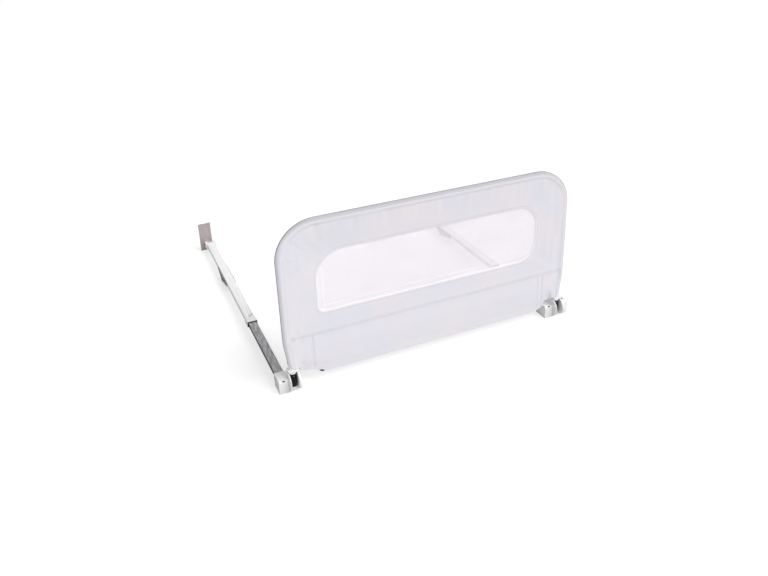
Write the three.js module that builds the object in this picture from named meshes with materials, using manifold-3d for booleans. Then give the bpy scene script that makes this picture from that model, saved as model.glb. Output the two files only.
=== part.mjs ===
// Folding bed guard rail, in millimetres.
// +X runs along the guard, +Y from the guard to the far side of the bed, +Z up.
// Most pieces are drawn from the fold axis of a hinge: y = 0 and z = 0 lie on that axis.
import * as THREE from "three";
import { mergeVertices } from "three/addons/utils/BufferGeometryUtils.js";
import Module from "manifold-3d";

const wasm = await Module();
wasm.setup();

// Gaps between pieces
const fitGap = 0.3;
const cutOverrun = 2;
const mergeTolerance = 0.0001;

// Facets on round forms
const fineSides = 20;
const roundSides = 12;
const smallSides = 10;
const cornerSteps = 2;

// Guard
const guardWidth = 1040;
const coverHeight = 540;
const cornerRadius = 130;
const hingeInset = 21;
const pivotHeight = 34;

// Frame tubes inside the cover
const frameTubeRadius = 10;
const frameTubeWall = 1.2;
const legStraightTop = 60;
const legSpreadTop = 150;
const swageLength = 40;
const swageShoulder = 2;
const crossBarRadius = 8;
const crossBarHeight = 154;
const crossBarPlug = 15;
const screwRadius = 2.2;
const screwLength = 32;
const screwHeadRadius = 3.2;
const screwHeadThickness = 0.9;

// Fabric cover
const fabricWall = 1.6;
const fabricEase = 1;
const hemHalfThickness = 2.2;
const hemInset = 8;
const exitHemHeight = 42.8;
const windowSideBorder = 121;
const windowTopBorder = 115;
const windowAboveBar = 64;
const windowCornerTopLeft = 96;
const windowCornerTopRight = 77;
const windowCornerBottomRight = 72;
const windowCornerBottomLeft = 22;
const lowerRingShare = 0.7;
const outerRingShare = 0.3;
const voidEndShare = 0.93;
const cornerPoints = 6;
const railPoints = 2;
const hemPoints = 4;
const spreadPoints = 3;
const sidePoints = 1;
const sleeveSteps = 3;

// Lower corners of the hem: share of the run inward, of the rise, and of the sleeve's swell
const hemCornerRun = 118;
const hemCornerRise = 45;
const leftHemCornerShares = [
  [0.06, 1.0, 0.75],
  [0.2, 0.93, 0.45],
  [0.37, 0.8, 0.25],
  [0.58, 0.42, 0.1],
  [0.8, 0.1, 0],
];
const rightHemCornerShares = [
  [0.06, 1.0, 0.75],
  [0.25, 0.97, 0.45],
  [0.45, 0.92, 0.2],
  [0.6, 0.82, 0.1],
  [0.84, 0.34, 0],
  [1.1, 0.1, 0],
];

// Net window
const netThickness = 1.2;
const netColumns = 16;
const netRows = 4;
const netBar = 4;

// Pull at the lower hem
const hemPullInset = 116;
const hemPullWidth = 16;
const hemPullHeight = 11;
const hemPullRise = 5;
const hemPullThickness = 1.6;

// Hinge knuckle and what it carries
const knuckleRadius = 12.4;
const knuckleHalfHeight = 28;
const knuckleChamfer = 1;
const tubeSeat = 14;
const detentDepth = 6;
const capDrop = 5.2;
const capStudRadius = 4;
const capStudLength = 8;
const collarTop = 42;
const skirtBottom = 34.8;
const skirtLeft = 15.7;
const skirtRight = 21;
const skirtHalfDepth = 14;
const skirtCornerRadius = 6;
const tubeRivetRadius = 2;
const tubeRivetHeight = 21;

// Hinge bracket
const flangeRadius = 33.5;
const flangeThickness = 3.2;
const cheekRadius = 31;
const cheekThickness = 8;
const cheekClearance = 0.4;
const blockOverlap = 0.1;
const bridgeThickness = 8;
const bridgeRise = 4;
const blockFront = 12;
const blockRear = 44;
const blockTop = 13;
const blockWall = 2.4;
const blockNoseRadius = 8;
const blockStepDepth = 6;
const chamberRear = 16;
const chamberFront = 9;
const chamberFloor = 8;
const chamberRoof = 10;
const socketDepth = 24;
const socketRivetInset = 12;
const socketRivetRadius = 2.5;
const socketRivetHeadRadius = 4.5;
const socketRivetHeadThickness = 1.2;

// Pivot pin
const pinRadius = 4;
const pinHeadRadius = 5.5;
const pinHeadThickness = 2.4;

// Lock slider in the block
const boltRadius = 2.2;
const boltForward = 5.5;
const boltRise = 6.5;
const sliderLeft = 39;
const sliderRight = 22;
const sliderHalfSize = 3;
const tabLeft = 37;
const tabRight = 29.5;
const tabHalfThickness = 2;
const slotLeft = 42.5;
const slotRight = 28.5;
const slotHalfThickness = 2.5;
const lockSpringRadius = 2;
const lockSpringWire = 0.35;
const lockSpringTurns = 5;
const lockSpringStepsPerTurn = 7;

// Outboard lock housing on the right hinge
const housingWidth = 23;
const housingFront = 14;
const housingRear = 40;
const housingTop = 19;
const housingWall = 3;
const housingCornerRadius = 6;
const housingScrewBack = 30;
const housingScrewDrop = 12;
const releaseWidth = 9;
const releaseDepth = 10;
const releaseHeight = 12;
const releaseProud = 1;
const releaseCentreY = 8;

// Telescopic arm
const armOffset = 32;
const armCentreHeight = 2;
const innerTubeWidth = 30.4;
const innerTubeHeight = 15;
const armTubeWall = 1.5;
const armTubeCorner = 2.6;
const outerTubeStart = 389;
const outerTubeLength = 423;
const farTubeLength = 294.4;
const innerTubeInsertion = 116;
const armCollarLip = 4;
const armCollarLength = 34;
const armCollarWall = 1.7;
const buttonSetback = 37;
const buttonSide = 8;
const buttonRadius = 4;
const buttonProud = 1.6;
const buttonBossHalf = 6.5;
const buttonBossHeight = 2.6;

// Middle fold of the arm
const foldPinReach = 8;
const foldPinDrop = 18;
const foldPinRadius = 3.5;
const foldPinHeadRadius = 6.5;
const foldPinHeadThickness = 2;
const foldPlateThickness = 2;
const foldPlateBackLength = 90;
const foldPlateForwardLength = 74;
const foldPlateTopAboveCentre = 4;
const foldLobeRadius = 15;
const foldWebInset = 13;
const foldWebLength = 60;
const foldTipHeight = 5;
const foldLobeFromDegrees = 216;
const foldLobeSweepDegrees = 130;
const bracketRivetSetback = 47;
const bracketRivetRadius = 2.5;
const bracketRivetHeadRadius = 5;
const bracketRivetHeadThickness = 1.4;
const lugEyeRadius = 8.4;
const lugPlugLength = 45;
const lugNeckLength = 22;
const foldEndGap = 0.6;
const lugRivetInset = 34;

// End knuckle and anchor plate
const endKnuckleHalfWidth = 22;
const endKnuckleBody = 18;
const endKnucklePlug = 22;
const endKnuckleBelow = 12;
const endKnuckleAbove = 11;
const forkHalfGap = 10.3;
const anchorPinReach = 34;
const anchorPinBelowCentre = 1;
const anchorPinRadius = 3.5;
const anchorPinHeadRadius = 6;
const anchorPinHeadThickness = 2.2;
const plateStandoff = 16;
const plateThickness = 2.5;
const plateLeft = 39;
const plateRight = 15;
const plateStripWidth = 13;
const plateStripSet = 3;
const plateHeight = 127;
const plateBarrelRadius = 8;
const plateWebHalf = 5;
const plateJogInset = 0.8;

// As photographed: the right arm is set a little shorter, and its plate lies folded over it
const rightArmPush = 30;
const foldedPlateDegrees = 90;

// Values worked out from the sizes above
const floorZ = -pivotHeight;
const hingeX = guardWidth / 2 - hingeInset;
const windowHalfWidth = guardWidth / 2 - windowSideBorder;
const windowTop = coverHeight - windowTopBorder;
const windowBottom = crossBarHeight + windowAboveBar;
const windowCornerLimit = (windowTop - windowBottom) / 2 - fitGap;
const [windowRadiusTopLeft, windowRadiusTopRight, windowRadiusBottomRight, windowRadiusBottomLeft] = [
  windowCornerTopLeft, windowCornerTopRight, windowCornerBottomRight, windowCornerBottomLeft,
].map((radius) => Math.min(radius, windowCornerLimit));
const sleeveRadius = frameTubeRadius + fabricEase + fabricWall;
const sideX = guardWidth / 2 - sleeveRadius;
const railZ = coverHeight - sleeveRadius;
const bendRadius = cornerRadius - sleeveRadius;
const bendX = sideX - bendRadius;
const bendZ = railZ - bendRadius;
const cheekInner = knuckleRadius + cheekClearance;
const flangeOuter = cheekInner + flangeThickness;
const cheekOuter = cheekInner + cheekThickness;
const releaseCentreX = cheekOuter + fitGap + (housingWidth - housingWall) / 2;
const outerTubeInnerWidth = innerTubeWidth + 2 * fitGap;
const outerTubeInnerHeight = innerTubeHeight + 2 * fitGap;
const outerTubeWidth = outerTubeInnerWidth + 2 * armTubeWall;
const outerTubeHeight = outerTubeInnerHeight + 2 * armTubeWall;
const outerTubeTop = armCentreHeight + outerTubeHeight / 2;
const tubeUnderside = armCentreHeight - outerTubeHeight / 2;
const bracketHalfGap = outerTubeWidth / 2 + fitGap;
const bracketHalfWidth = bracketHalfGap + foldPlateThickness;
const bracketTop = armCentreHeight + foldPlateTopAboveCentre;
const blockLeft = armOffset + innerTubeWidth / 2 + fitGap + blockWall;
const blockRearRight = armOffset - innerTubeWidth / 2 - fitGap - blockWall;
const innerTubeEnd = outerTubeStart + innerTubeInsertion;
const armCollarStart = outerTubeStart - armCollarLip;
const buttonY = outerTubeStart + buttonSetback;
const foldSplit = outerTubeStart + outerTubeLength;
const farTubeStart = foldSplit + foldEndGap;
const farTubeEnd = farTubeStart + farTubeLength;
const foldPinY = foldSplit + foldPinReach;
const foldPinZ = armCentreHeight - foldPinDrop;
const foldPlateStart = foldSplit - foldPlateBackLength;
const foldPlateEnd = foldSplit + foldPlateForwardLength;
const foldWebStart = foldPlateStart + foldWebInset;
const foldWebEnd = foldWebStart + foldWebLength;
const bracketRivetY = foldSplit - bracketRivetSetback;
const lugRivetY = farTubeStart + lugRivetInset;
const anchorPinY = farTubeEnd + anchorPinReach;
const anchorPinZ = armCentreHeight - anchorPinBelowCentre;
const plateFace = anchorPinY + plateStandoff;
const plateBack = plateFace + plateThickness + plateStripSet;

// Materials
function finish(colour, roughness, metalness) {
  return new THREE.MeshStandardMaterial({ color: colour, roughness, metalness });
}
const whitePlastic = finish(0xeeeeee, 0.45, 0);
const whiteSteel = finish(0xf0f0f0, 0.35, 0);
const blackPlastic = finish(0x161616, 0.4, 0);
const darkSteel = finish(0x808084, 0.4, 0.8);
const pinSteel = finish(0x6c6a68, 0.35, 0.9);
const bareSteel = finish(0xa79e9b, 0.4, 0.8);
const greyPlastic = finish(0xa8a8ac, 0.5, 0);
const coverFabric = finish(0xdedde4, 0.9, 0);
const netFabric = finish(0xf4f2f6, 0.9, 0);

// Solids: every shape becomes one closed solid before it is cut or joined
function toSolid(geometry) {
  const bare = geometry.index ? geometry.toNonIndexed() : geometry.clone();
  bare.deleteAttribute("normal");
  bare.deleteAttribute("uv");
  const merged = mergeVertices(bare, mergeTolerance);
  const vertProperties = new Float32Array(merged.attributes.position.array);
  const triVerts = new Uint32Array(merged.index.array);
  let solid = new wasm.Manifold(new wasm.Mesh({ numProp: 3, vertProperties, triVerts }));
  if (solid.volume() < 0) {
    for (let i = 0; i < triVerts.length; i += 3) {
      const second = triVerts[i + 1];
      triVerts[i + 1] = triVerts[i + 2];
      triVerts[i + 2] = second;
    }
    solid = new wasm.Manifold(new wasm.Mesh({ numProp: 3, vertProperties, triVerts }));
  }
  return solid;
}

function join(...solids) {
  return solids.reduce((whole, next) => whole.add(next));
}

function cut(solid, ...tools) {
  return tools.reduce((whole, tool) => whole.subtract(tool), solid);
}

function toGeometry(solid) {
  const mesh = solid.getMesh();
  const geometry = new THREE.BufferGeometry();
  geometry.setAttribute("position", new THREE.BufferAttribute(new Float32Array(mesh.vertProperties), 3));
  geometry.setIndex(new THREE.BufferAttribute(new Uint32Array(mesh.triVerts), 1));
  return geometry;
}

// Plain shapes, each given by its limits
function block(x0, x1, y0, y1, z0, z1) {
  const geometry = new THREE.BoxGeometry(x1 - x0, y1 - y0, z1 - z0);
  geometry.translate((x0 + x1) / 2, (y0 + y1) / 2, (z0 + z1) / 2);
  return toSolid(geometry);
}

function rodX(radius, x0, x1, y, z, sides = roundSides) {
  const geometry = new THREE.CylinderGeometry(radius, radius, x1 - x0, sides);
  geometry.rotateZ(Math.PI / 2);
  geometry.translate((x0 + x1) / 2, y, z);
  return toSolid(geometry);
}

function rodY(radius, x, y0, y1, z, sides = roundSides) {
  const geometry = new THREE.CylinderGeometry(radius, radius, y1 - y0, sides);
  geometry.translate(x, (y0 + y1) / 2, z);
  return toSolid(geometry);
}

function rodZ(radius, x, y, z0, z1, sides = roundSides) {
  const geometry = new THREE.CylinderGeometry(radius, radius, z1 - z0, sides);
  geometry.rotateX(Math.PI / 2);
  geometry.translate(x, y, (z0 + z1) / 2);
  return toSolid(geometry);
}

const alongX = new THREE.Vector3(1, 0, 0);
const alongY = new THREE.Vector3(0, 1, 0);
const alongZ = new THREE.Vector3(0, 0, 1);

function extrude(shape, depth) {
  return new THREE.ExtrudeGeometry(shape, { depth, bevelEnabled: false, curveSegments: cornerSteps });
}

// A shape drawn in y and z, run along x
function prismX(shape, x0, x1) {
  const geometry = extrude(shape, x1 - x0);
  geometry.applyMatrix4(new THREE.Matrix4().makeBasis(alongY, alongZ, alongX));
  geometry.translate(x0, 0, 0);
  return toSolid(geometry);
}

// A shape drawn in x and z, run along y
function prismY(shape, y0, y1) {
  const geometry = extrude(shape, y1 - y0);
  geometry.applyMatrix4(new THREE.Matrix4().makeBasis(alongX, alongZ, alongY.clone().negate()));
  geometry.translate(0, y1, 0);
  return toSolid(geometry);
}

function prismZ(shape, z0, z1) {
  const geometry = extrude(shape, z1 - z0);
  geometry.translate(0, 0, z0);
  return toSolid(geometry);
}

// A profile of [radius, height] pairs turned about a vertical line
function turned(profile, sides = roundSides) {
  const points = profile.map(([radius, height]) => new THREE.Vector2(radius, height));
  const geometry = new THREE.LatheGeometry(points, sides);
  geometry.rotateX(Math.PI / 2);
  return toSolid(geometry);
}

function roundedRectangle(left, right, bottom, top, radius) {
  const shape = new THREE.Shape();
  shape.moveTo(left + radius, bottom);
  shape.lineTo(right - radius, bottom);
  shape.absarc(right - radius, bottom + radius, radius, -Math.PI / 2, 0);
  shape.lineTo(right, top - radius);
  shape.absarc(right - radius, top - radius, radius, 0, Math.PI / 2);
  shape.lineTo(left + radius, top);
  shape.absarc(left + radius, top - radius, radius, Math.PI / 2, Math.PI);
  shape.lineTo(left, bottom + radius);
  shape.absarc(left + radius, bottom + radius, radius, Math.PI, Math.PI * 1.5);
  shape.closePath();
  return shape;
}

const model = new THREE.Group();

function place(group, name, solid, material) {
  const mesh = new THREE.Mesh(toGeometry(solid), material);
  mesh.name = name;
  group.add(mesh);
}

// Frame of the guard

// Centre line of the right side of the frame as [x, z] pairs: leg, spread and upright side
function legX(z) {
  const run = Math.min(Math.max((z - legStraightTop) / (legSpreadTop - legStraightTop), 0), 1);
  return hingeX + (sideX - hingeX) * run * run * (3 - 2 * run);
}

function sideLine() {
  const spreadStep = (legSpreadTop - legStraightTop) / spreadPoints;
  const sideStep = (bendZ - legSpreadTop) / sidePoints;
  const line = [];
  for (let i = 0; i < spreadPoints; i += 1) {
    const z = legStraightTop + spreadStep * i;
    line.push([legX(z), z]);
  }
  for (let i = 0; i <= sidePoints; i += 1) {
    line.push([sideX, legSpreadTop + sideStep * i]);
  }
  return line;
}

// Round the upper corner, from the side to the rail, without its two ends
function bendLine() {
  const line = [];
  for (let i = 1; i < cornerPoints; i += 1) {
    const angle = Math.PI / 2 * i / cornerPoints;
    line.push([bendX + bendRadius * Math.cos(angle), bendZ + bendRadius * Math.sin(angle)]);
  }
  return line;
}

// A round tube along a line of [x, z] pairs
function bentTube(line, outer, inner, sides) {
  const positions = [];
  line.forEach(([x, z], i) => {
    const [fromX, fromZ] = line[Math.max(i - 1, 0)];
    const [toX, toZ] = line[Math.min(i + 1, line.length - 1)];
    const along = new THREE.Vector2(toX - fromX, toZ - fromZ).normalize();
    for (const radius of [outer, inner]) {
      for (let side = 0; side < sides; side += 1) {
        const angle = 2 * Math.PI * side / sides;
        const reach = radius * Math.cos(angle);
        positions.push(x + along.y * reach, radius * Math.sin(angle), z - along.x * reach);
      }
    }
  });
  const index = [];
  const face = (a, b, c, d) => index.push(a, b, c, a, c, d);
  const ring = 2 * sides;
  const last = (line.length - 1) * ring;
  for (let side = 0; side < sides; side += 1) {
    const next = (side + 1) % sides;
    for (let start = 0; start < last; start += ring) {
      face(start + side, start + next, start + ring + next, start + ring + side);
      face(start + sides + next, start + sides + side, start + ring + sides + side, start + ring + sides + next);
    }
    face(side, sides + side, sides + next, next);
    face(last + side, last + next, last + sides + next, last + sides + side);
  }
  const geometry = new THREE.BufferGeometry();
  geometry.setAttribute("position", new THREE.Float32BufferAttribute(positions, 3));
  geometry.setIndex(index);
  return toSolid(geometry);
}

function hollowRodX(outer, inner, x0, x1, z) {
  return cut(rodX(outer, x0, x1, 0, z), rodX(inner, x0 - cutOverrun, x1 + cutOverrun, 0, z));
}

// One side of the frame with the swaged end that enters the top rail; drawn on the right, mirrored for the left
function upright() {
  const inner = frameTubeRadius - frameTubeWall;
  const line = [[hingeX, tubeSeat + fitGap], ...sideLine(), ...bendLine(), [bendX, railZ]];
  const swageOuter = inner - fitGap;
  const swageInner = swageOuter - frameTubeWall;
  const shoulderFrom = bendX - swageShoulder;
  const spigotFrom = shoulderFrom - swageLength;
  const barEndX = legX(crossBarHeight);
  const screwFrom = barEndX - frameTubeRadius - cutOverrun;
  const screwTo = barEndX + frameTubeRadius + cutOverrun;
  const rivetReach = frameTubeRadius + cutOverrun;
  return cut(
    join(
      bentTube(line, frameTubeRadius, inner, roundSides),
      hollowRodX(frameTubeRadius, swageInner, shoulderFrom, bendX, railZ),
      hollowRodX(swageOuter, swageInner, spigotFrom, shoulderFrom + swageShoulder / 2, railZ)
    ),
    rodX(screwRadius + fitGap, screwFrom, screwTo, 0, crossBarHeight, smallSides),
    rodX(screwHeadRadius + fitGap, barEndX, screwTo, 0, crossBarHeight, smallSides),
    rodY(tubeRivetRadius + fitGap, hingeX, -rivetReach, rivetReach, tubeRivetHeight, smallSides)
  );
}

function topRail() {
  const halfLength = bendX - swageShoulder - fitGap;
  return hollowRodX(frameTubeRadius, frameTubeRadius - frameTubeWall, -halfLength, halfLength, railZ);
}

function crossBar() {
  const half = legX(crossBarHeight) - frameTubeRadius - fitGap;
  const plugFrom = half - crossBarPlug;
  const bar = cut(
    rodX(crossBarRadius, -half, half, 0, crossBarHeight),
    rodX(crossBarRadius - frameTubeWall, -plugFrom, plugFrom, 0, crossBarHeight)
  );
  const bore = screwRadius + fitGap;
  return cut(
    bar,
    rodX(bore, -half - cutOverrun, -plugFrom + cutOverrun, 0, crossBarHeight, smallSides),
    rodX(bore, plugFrom - cutOverrun, half + cutOverrun, 0, crossBarHeight, smallSides)
  );
}

function crossBarScrew() {
  const headOuter = legX(crossBarHeight) + frameTubeRadius - fitGap;
  const headInner = headOuter - screwHeadThickness;
  return join(
    rodX(screwRadius, headOuter - screwLength, headInner + screwHeadThickness / 2, 0, crossBarHeight, smallSides),
    rodX(screwHeadRadius, headInner, headOuter, 0, crossBarHeight, smallSides)
  );
}

// Fabric cover: a double skin, wide over the tubes and drawn together at the window

// Points along the middle of the cover's edge, each with its swell and its place by the window
function edgePlaces() {
  const places = [];
  const add = (x, z, swell, windowX, windowZ) => places.push({ x, z, swell, windowX, windowZ });
  const left = -windowHalfWidth;
  const right = windowHalfWidth;
  const radii = [windowRadiusTopLeft, windowRadiusTopRight, windowRadiusBottomRight, windowRadiusBottomLeft];
  const [topLeft, topRight, bottomRight, bottomLeft] = radii;
  const side = sideLine();
  const bend = bendLine();
  const sideShare = (i) => i / (side.length - 1);
  const cornerAngle = (i) => Math.PI / 2 * (i + 1) / cornerPoints;
  const leftLow = windowBottom + bottomLeft;
  const leftHigh = windowTop - topLeft;
  side.forEach(([x, z], i) => add(-x, z, 1, left, leftLow + (leftHigh - leftLow) * sideShare(i)));
  bend.forEach(([x, z], i) => add(
    -x, z, 1,
    left + topLeft - topLeft * Math.cos(cornerAngle(i)), leftHigh + topLeft * Math.sin(cornerAngle(i))
  ));
  for (let i = 0; i <= railPoints; i += 1) {
    const share = i / railPoints;
    const windowX = left + topLeft + (2 * windowHalfWidth - topLeft - topRight) * share;
    add(2 * bendX * share - bendX, railZ, 1, windowX, windowTop);
  }
  const rightLow = windowBottom + bottomRight;
  const rightHigh = windowTop - topRight;
  bend.reverse().forEach(([x, z], i) => add(
    x, z, 1,
    right - topRight + topRight * Math.sin(cornerAngle(i)), rightHigh + topRight * Math.cos(cornerAngle(i))
  ));
  side.reverse().forEach(([x, z], i) => add(x, z, 1, right, rightHigh + (rightLow - rightHigh) * sideShare(i)));
  const hemCorner = (shares) => shares.map(([run, rise, swell], i) => ({
    x: hingeX - hemCornerRun * run,
    z: hemHalfThickness + hemCornerRise * rise,
    swell,
    angle: Math.PI / 2 * (i + 1) / (shares.length + 1),
  }));
  hemCorner(rightHemCornerShares).forEach(({ x, z, swell, angle }) => add(
    x, z, swell,
    right - bottomRight + bottomRight * Math.cos(angle), rightLow - bottomRight * Math.sin(angle)
  ));
  const hemHalf = hingeX - hemCornerRun;
  const windowRun = 2 * windowHalfWidth - bottomRight - bottomLeft;
  for (let i = 1; i < hemPoints; i += 1) {
    const windowX = right - bottomRight - windowRun * (i - 1) / (hemPoints - 2);
    add(hemHalf - 2 * hemHalf * i / hemPoints, hemHalfThickness, 0, windowX, windowBottom);
  }
  hemCorner(leftHemCornerShares).reverse().forEach(({ x, z, swell, angle }) => add(
    -x, z, swell,
    left + bottomLeft - bottomLeft * Math.cos(angle), leftLow - bottomLeft * Math.sin(angle)
  ));
  return places;
}

// Rings of the cover's skin from the window's front edge, round the outside, to its back edge.
// The inner skin is drawn in by the fabric's thickness and stops short of window and hem.
function coverSkin(isInner) {
  const places = edgePlaces();
  const count = places.length;
  const drawnIn = isInner ? fabricWall : 0;
  const lastShare = isInner ? voidEndShare : 1;
  const sections = places.map((place, i) => {
    const before = places[(i + count - 1) % count];
    const after = places[(i + 1) % count];
    const along = new THREE.Vector2(after.x - before.x, after.z - before.z).normalize();
    const outX = -along.y;
    const outZ = along.x;
    const full = hemHalfThickness + (sleeveRadius - hemHalfThickness) * place.swell;
    const radius = full - drawnIn;
    const inset = isInner ? hemInset * (1 - place.swell) : 0;
    const midX = place.x - outX * inset;
    const midZ = place.z - outZ * inset;
    const edgeHalf = hemHalfThickness - drawnIn;
    const barHalf = crossBarRadius + fabricEase + fabricWall - drawnIn;
    const isLow = place.swell < 1;
    const at = (share, half) => [
      midX + (place.windowX - midX) * share,
      half,
      midZ + (place.windowZ - midZ) * share,
    ];
    const middleHalf = isLow ? Math.max(barHalf, edgeHalf) : edgeHalf + (radius - edgeHalf) * (1 - lowerRingShare);
    const outerHalf = isLow
      ? radius + (barHalf - radius) * outerRingShare / lowerRingShare
      : edgeHalf + (radius - edgeHalf) * (1 - outerRingShare);
    const front = [at(lastShare, edgeHalf), at(lowerRingShare, middleHalf), at(outerRingShare, outerHalf)];
    for (let step = 0; step < sleeveSteps; step += 1) {
      const angle = Math.PI / 2 * step / sleeveSteps;
      const reach = radius * Math.sin(angle);
      front.push([midX + outX * reach, radius * Math.cos(angle), midZ + outZ * reach]);
    }
    const tip = [midX + outX * radius, 0, midZ + outZ * radius];
    const back = front.map(([x, half, z]) => [x, -half, z]).reverse();
    return [...front, tip, ...back];
  });
  const ringCount = sections[0].length;
  const positions = sections.flat().flat();
  const index = [];
  for (let i = 0; i < count; i += 1) {
    const next = (i + 1) % count;
    for (let j = 0; j < ringCount; j += 1) {
      const over = (j + 1) % ringCount;
      const a = i * ringCount + j;
      const b = next * ringCount + j;
      const c = next * ringCount + over;
      const d = i * ringCount + over;
      index.push(a, b, c, a, c, d);
    }
  }
  const geometry = new THREE.BufferGeometry();
  geometry.setAttribute("position", new THREE.Float32BufferAttribute(positions, 3));
  geometry.setIndex(index);
  return toSolid(geometry);
}

function fabricCover() {
  const barSleeve = crossBarRadius + fabricEase + fabricWall;
  const channel = crossBarRadius + fabricEase;
  const legSleeves = [-1, 1].map((sign) => (
    rodZ(sleeveRadius, sign * hingeX, 0, exitHemHeight, legStraightTop + hemInset)
  ));
  const legChannels = [-1, 1].map((sign) => (
    rodZ(sleeveRadius - fabricWall, sign * hingeX, 0, exitHemHeight - cutOverrun, legStraightTop + hemInset)
  ));
  const exitReach = skirtRight + 2 * fitGap;
  const underExits = [-1, 1].map((sign) => block(
    sign * hingeX - exitReach, sign * hingeX + exitReach,
    -sleeveRadius - cutOverrun, sleeveRadius + cutOverrun, 0, exitHemHeight
  ));
  const outer = join(
    coverSkin(false),
    rodX(barSleeve, -sideX, sideX, 0, crossBarHeight, smallSides),
    ...legSleeves
  );
  const inner = join(
    coverSkin(true),
    rodX(channel, -sideX, sideX, 0, crossBarHeight, smallSides),
    ...legChannels
  );
  return cut(outer, inner, ...underExits);
}

// Net window
function windowCorners(inset) {
  const left = -windowHalfWidth + inset;
  const right = windowHalfWidth - inset;
  const bottom = windowBottom + inset;
  const top = windowTop - inset;
  return [
    [left, top, windowRadiusTopLeft - inset, 1, -1, Math.PI],
    [right, top, windowRadiusTopRight - inset, -1, -1, Math.PI / 2],
    [right, bottom, windowRadiusBottomRight - inset, -1, 1, 0],
    [left, bottom, windowRadiusBottomLeft - inset, 1, 1, -Math.PI / 2],
  ];
}

// The window's outline as one shape, drawn in from the cover's edge
function windowShape(inset) {
  const shape = new THREE.Shape();
  const stepsByCorner = [cornerPoints, cornerPoints, rightHemCornerShares.length + 1, leftHemCornerShares.length + 1];
  windowCorners(inset).forEach(([cornerX, cornerZ, radius, inX, inZ, startAngle], corner) => {
    const steps = stepsByCorner[corner];
    for (let i = 0; i <= steps; i += 1) {
      const angle = startAngle - Math.PI / 2 * i / steps;
      const x = cornerX + inX * radius + radius * Math.cos(angle);
      const z = cornerZ + inZ * radius + radius * Math.sin(angle);
      if (corner === 0 && i === 0) {
        shape.moveTo(x, z);
      } else {
        shape.lineTo(x, z);
      }
    }
  });
  shape.closePath();
  return shape;
}

// Crossed bars of one flat net inside a narrow rim
function netWindow() {
  const half = netThickness / 2;
  const sheet = prismY(windowShape(fitGap), -half, half);
  const opening = prismY(windowShape(fitGap + netBar / 2), -half - cutOverrun, half + cutOverrun);
  const pitchX = 2 * windowHalfWidth / netColumns;
  const pitchZ = (windowTop - windowBottom) / netRows;
  const bars = [];
  for (let column = 1; column < netColumns; column += 1) {
    const x = -windowHalfWidth + pitchX * column;
    bars.push(block(x - netBar / 2, x + netBar / 2, -half, half, windowBottom, windowTop));
  }
  for (let row = 1; row < netRows; row += 1) {
    const z = windowBottom + pitchZ * row;
    bars.push(block(-windowHalfWidth, windowHalfWidth, -half, half, z - netBar / 2, z + netBar / 2));
  }
  return join(cut(sheet, opening), join(...bars).intersect(sheet));
}

// Small pull sewn on the front of the hem, near its left corner
function hemPull() {
  const left = hemPullInset - guardWidth / 2 - hemPullWidth / 2;
  const right = left + hemPullWidth;
  const front = -hemHalfThickness - 3 * fitGap;
  const shape = new THREE.Shape();
  shape.moveTo(left, hemPullRise);
  shape.lineTo(right, hemPullRise);
  shape.lineTo(right, hemPullRise + hemPullHeight / 2);
  shape.lineTo(left, hemPullRise + hemPullHeight);
  shape.closePath();
  return prismY(shape, front - hemPullThickness, front);
}

// Knuckle group on the guard, drawn about the hinge's own axis

function knuckle() {
  const bottom = -knuckleHalfHeight;
  const body = turned([
    [0, bottom],
    [knuckleRadius - knuckleChamfer, bottom],
    [knuckleRadius, bottom + knuckleChamfer],
    [knuckleRadius, knuckleHalfHeight],
    [0, knuckleHalfHeight],
  ], fineSides);
  const across = knuckleRadius + cutOverrun;
  return cut(
    body,
    rodX(pinRadius + fitGap, -across, across, 0, 0),
    rodX(boltRadius + fitGap, -across, -detentDepth, -boltForward, boltRise, smallSides),
    rodZ(frameTubeRadius + fitGap, 0, 0, tubeSeat, knuckleHalfHeight + cutOverrun),
    rodZ(capStudRadius + fitGap, 0, 0, bottom - cutOverrun, bottom + capStudLength + fitGap, smallSides),
    rodY(tubeRivetRadius + fitGap, 0, -across, across, tubeRivetHeight, smallSides)
  );
}

function knuckleCap() {
  const top = -knuckleHalfHeight - fitGap;
  const domeShares = [1, 0.92, 0.7, 0.38];
  const dome = domeShares.map((share) => [knuckleRadius * share, top - capDrop * Math.sqrt(1 - share * share)]);
  return turned([
    [0, top - capDrop],
    ...dome.reverse(),
    [capStudRadius, top],
    [capStudRadius, top + capStudLength],
    [0, top + capStudLength],
  ]);
}

function tubeCollar() {
  const ringBottom = knuckleHalfHeight + fitGap;
  const skirt = roundedRectangle(-skirtLeft, skirtRight, -skirtHalfDepth, skirtHalfDepth, skirtCornerRadius);
  return cut(
    join(rodZ(knuckleRadius, 0, 0, ringBottom, collarTop, fineSides), prismZ(skirt, skirtBottom, collarTop)),
    rodZ(frameTubeRadius + fitGap, 0, 0, ringBottom - cutOverrun, collarTop + cutOverrun)
  );
}

function tubeRivet() {
  return rodY(tubeRivetRadius, 0, -knuckleRadius, knuckleRadius, tubeRivetHeight, smallSides);
}

// Hinge bracket: arm socket, two round cheeks and the bridge behind the knuckle

function tabPrism(x0, x1, halfThickness, length) {
  const geometry = new THREE.BoxGeometry(x1 - x0, length, 2 * halfThickness);
  geometry.translate((x0 + x1) / 2, -length / 2, 0);
  geometry.rotateX(-Math.PI / 4);
  geometry.translate(0, -boltForward, boltRise);
  return toSolid(geometry);
}

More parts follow.
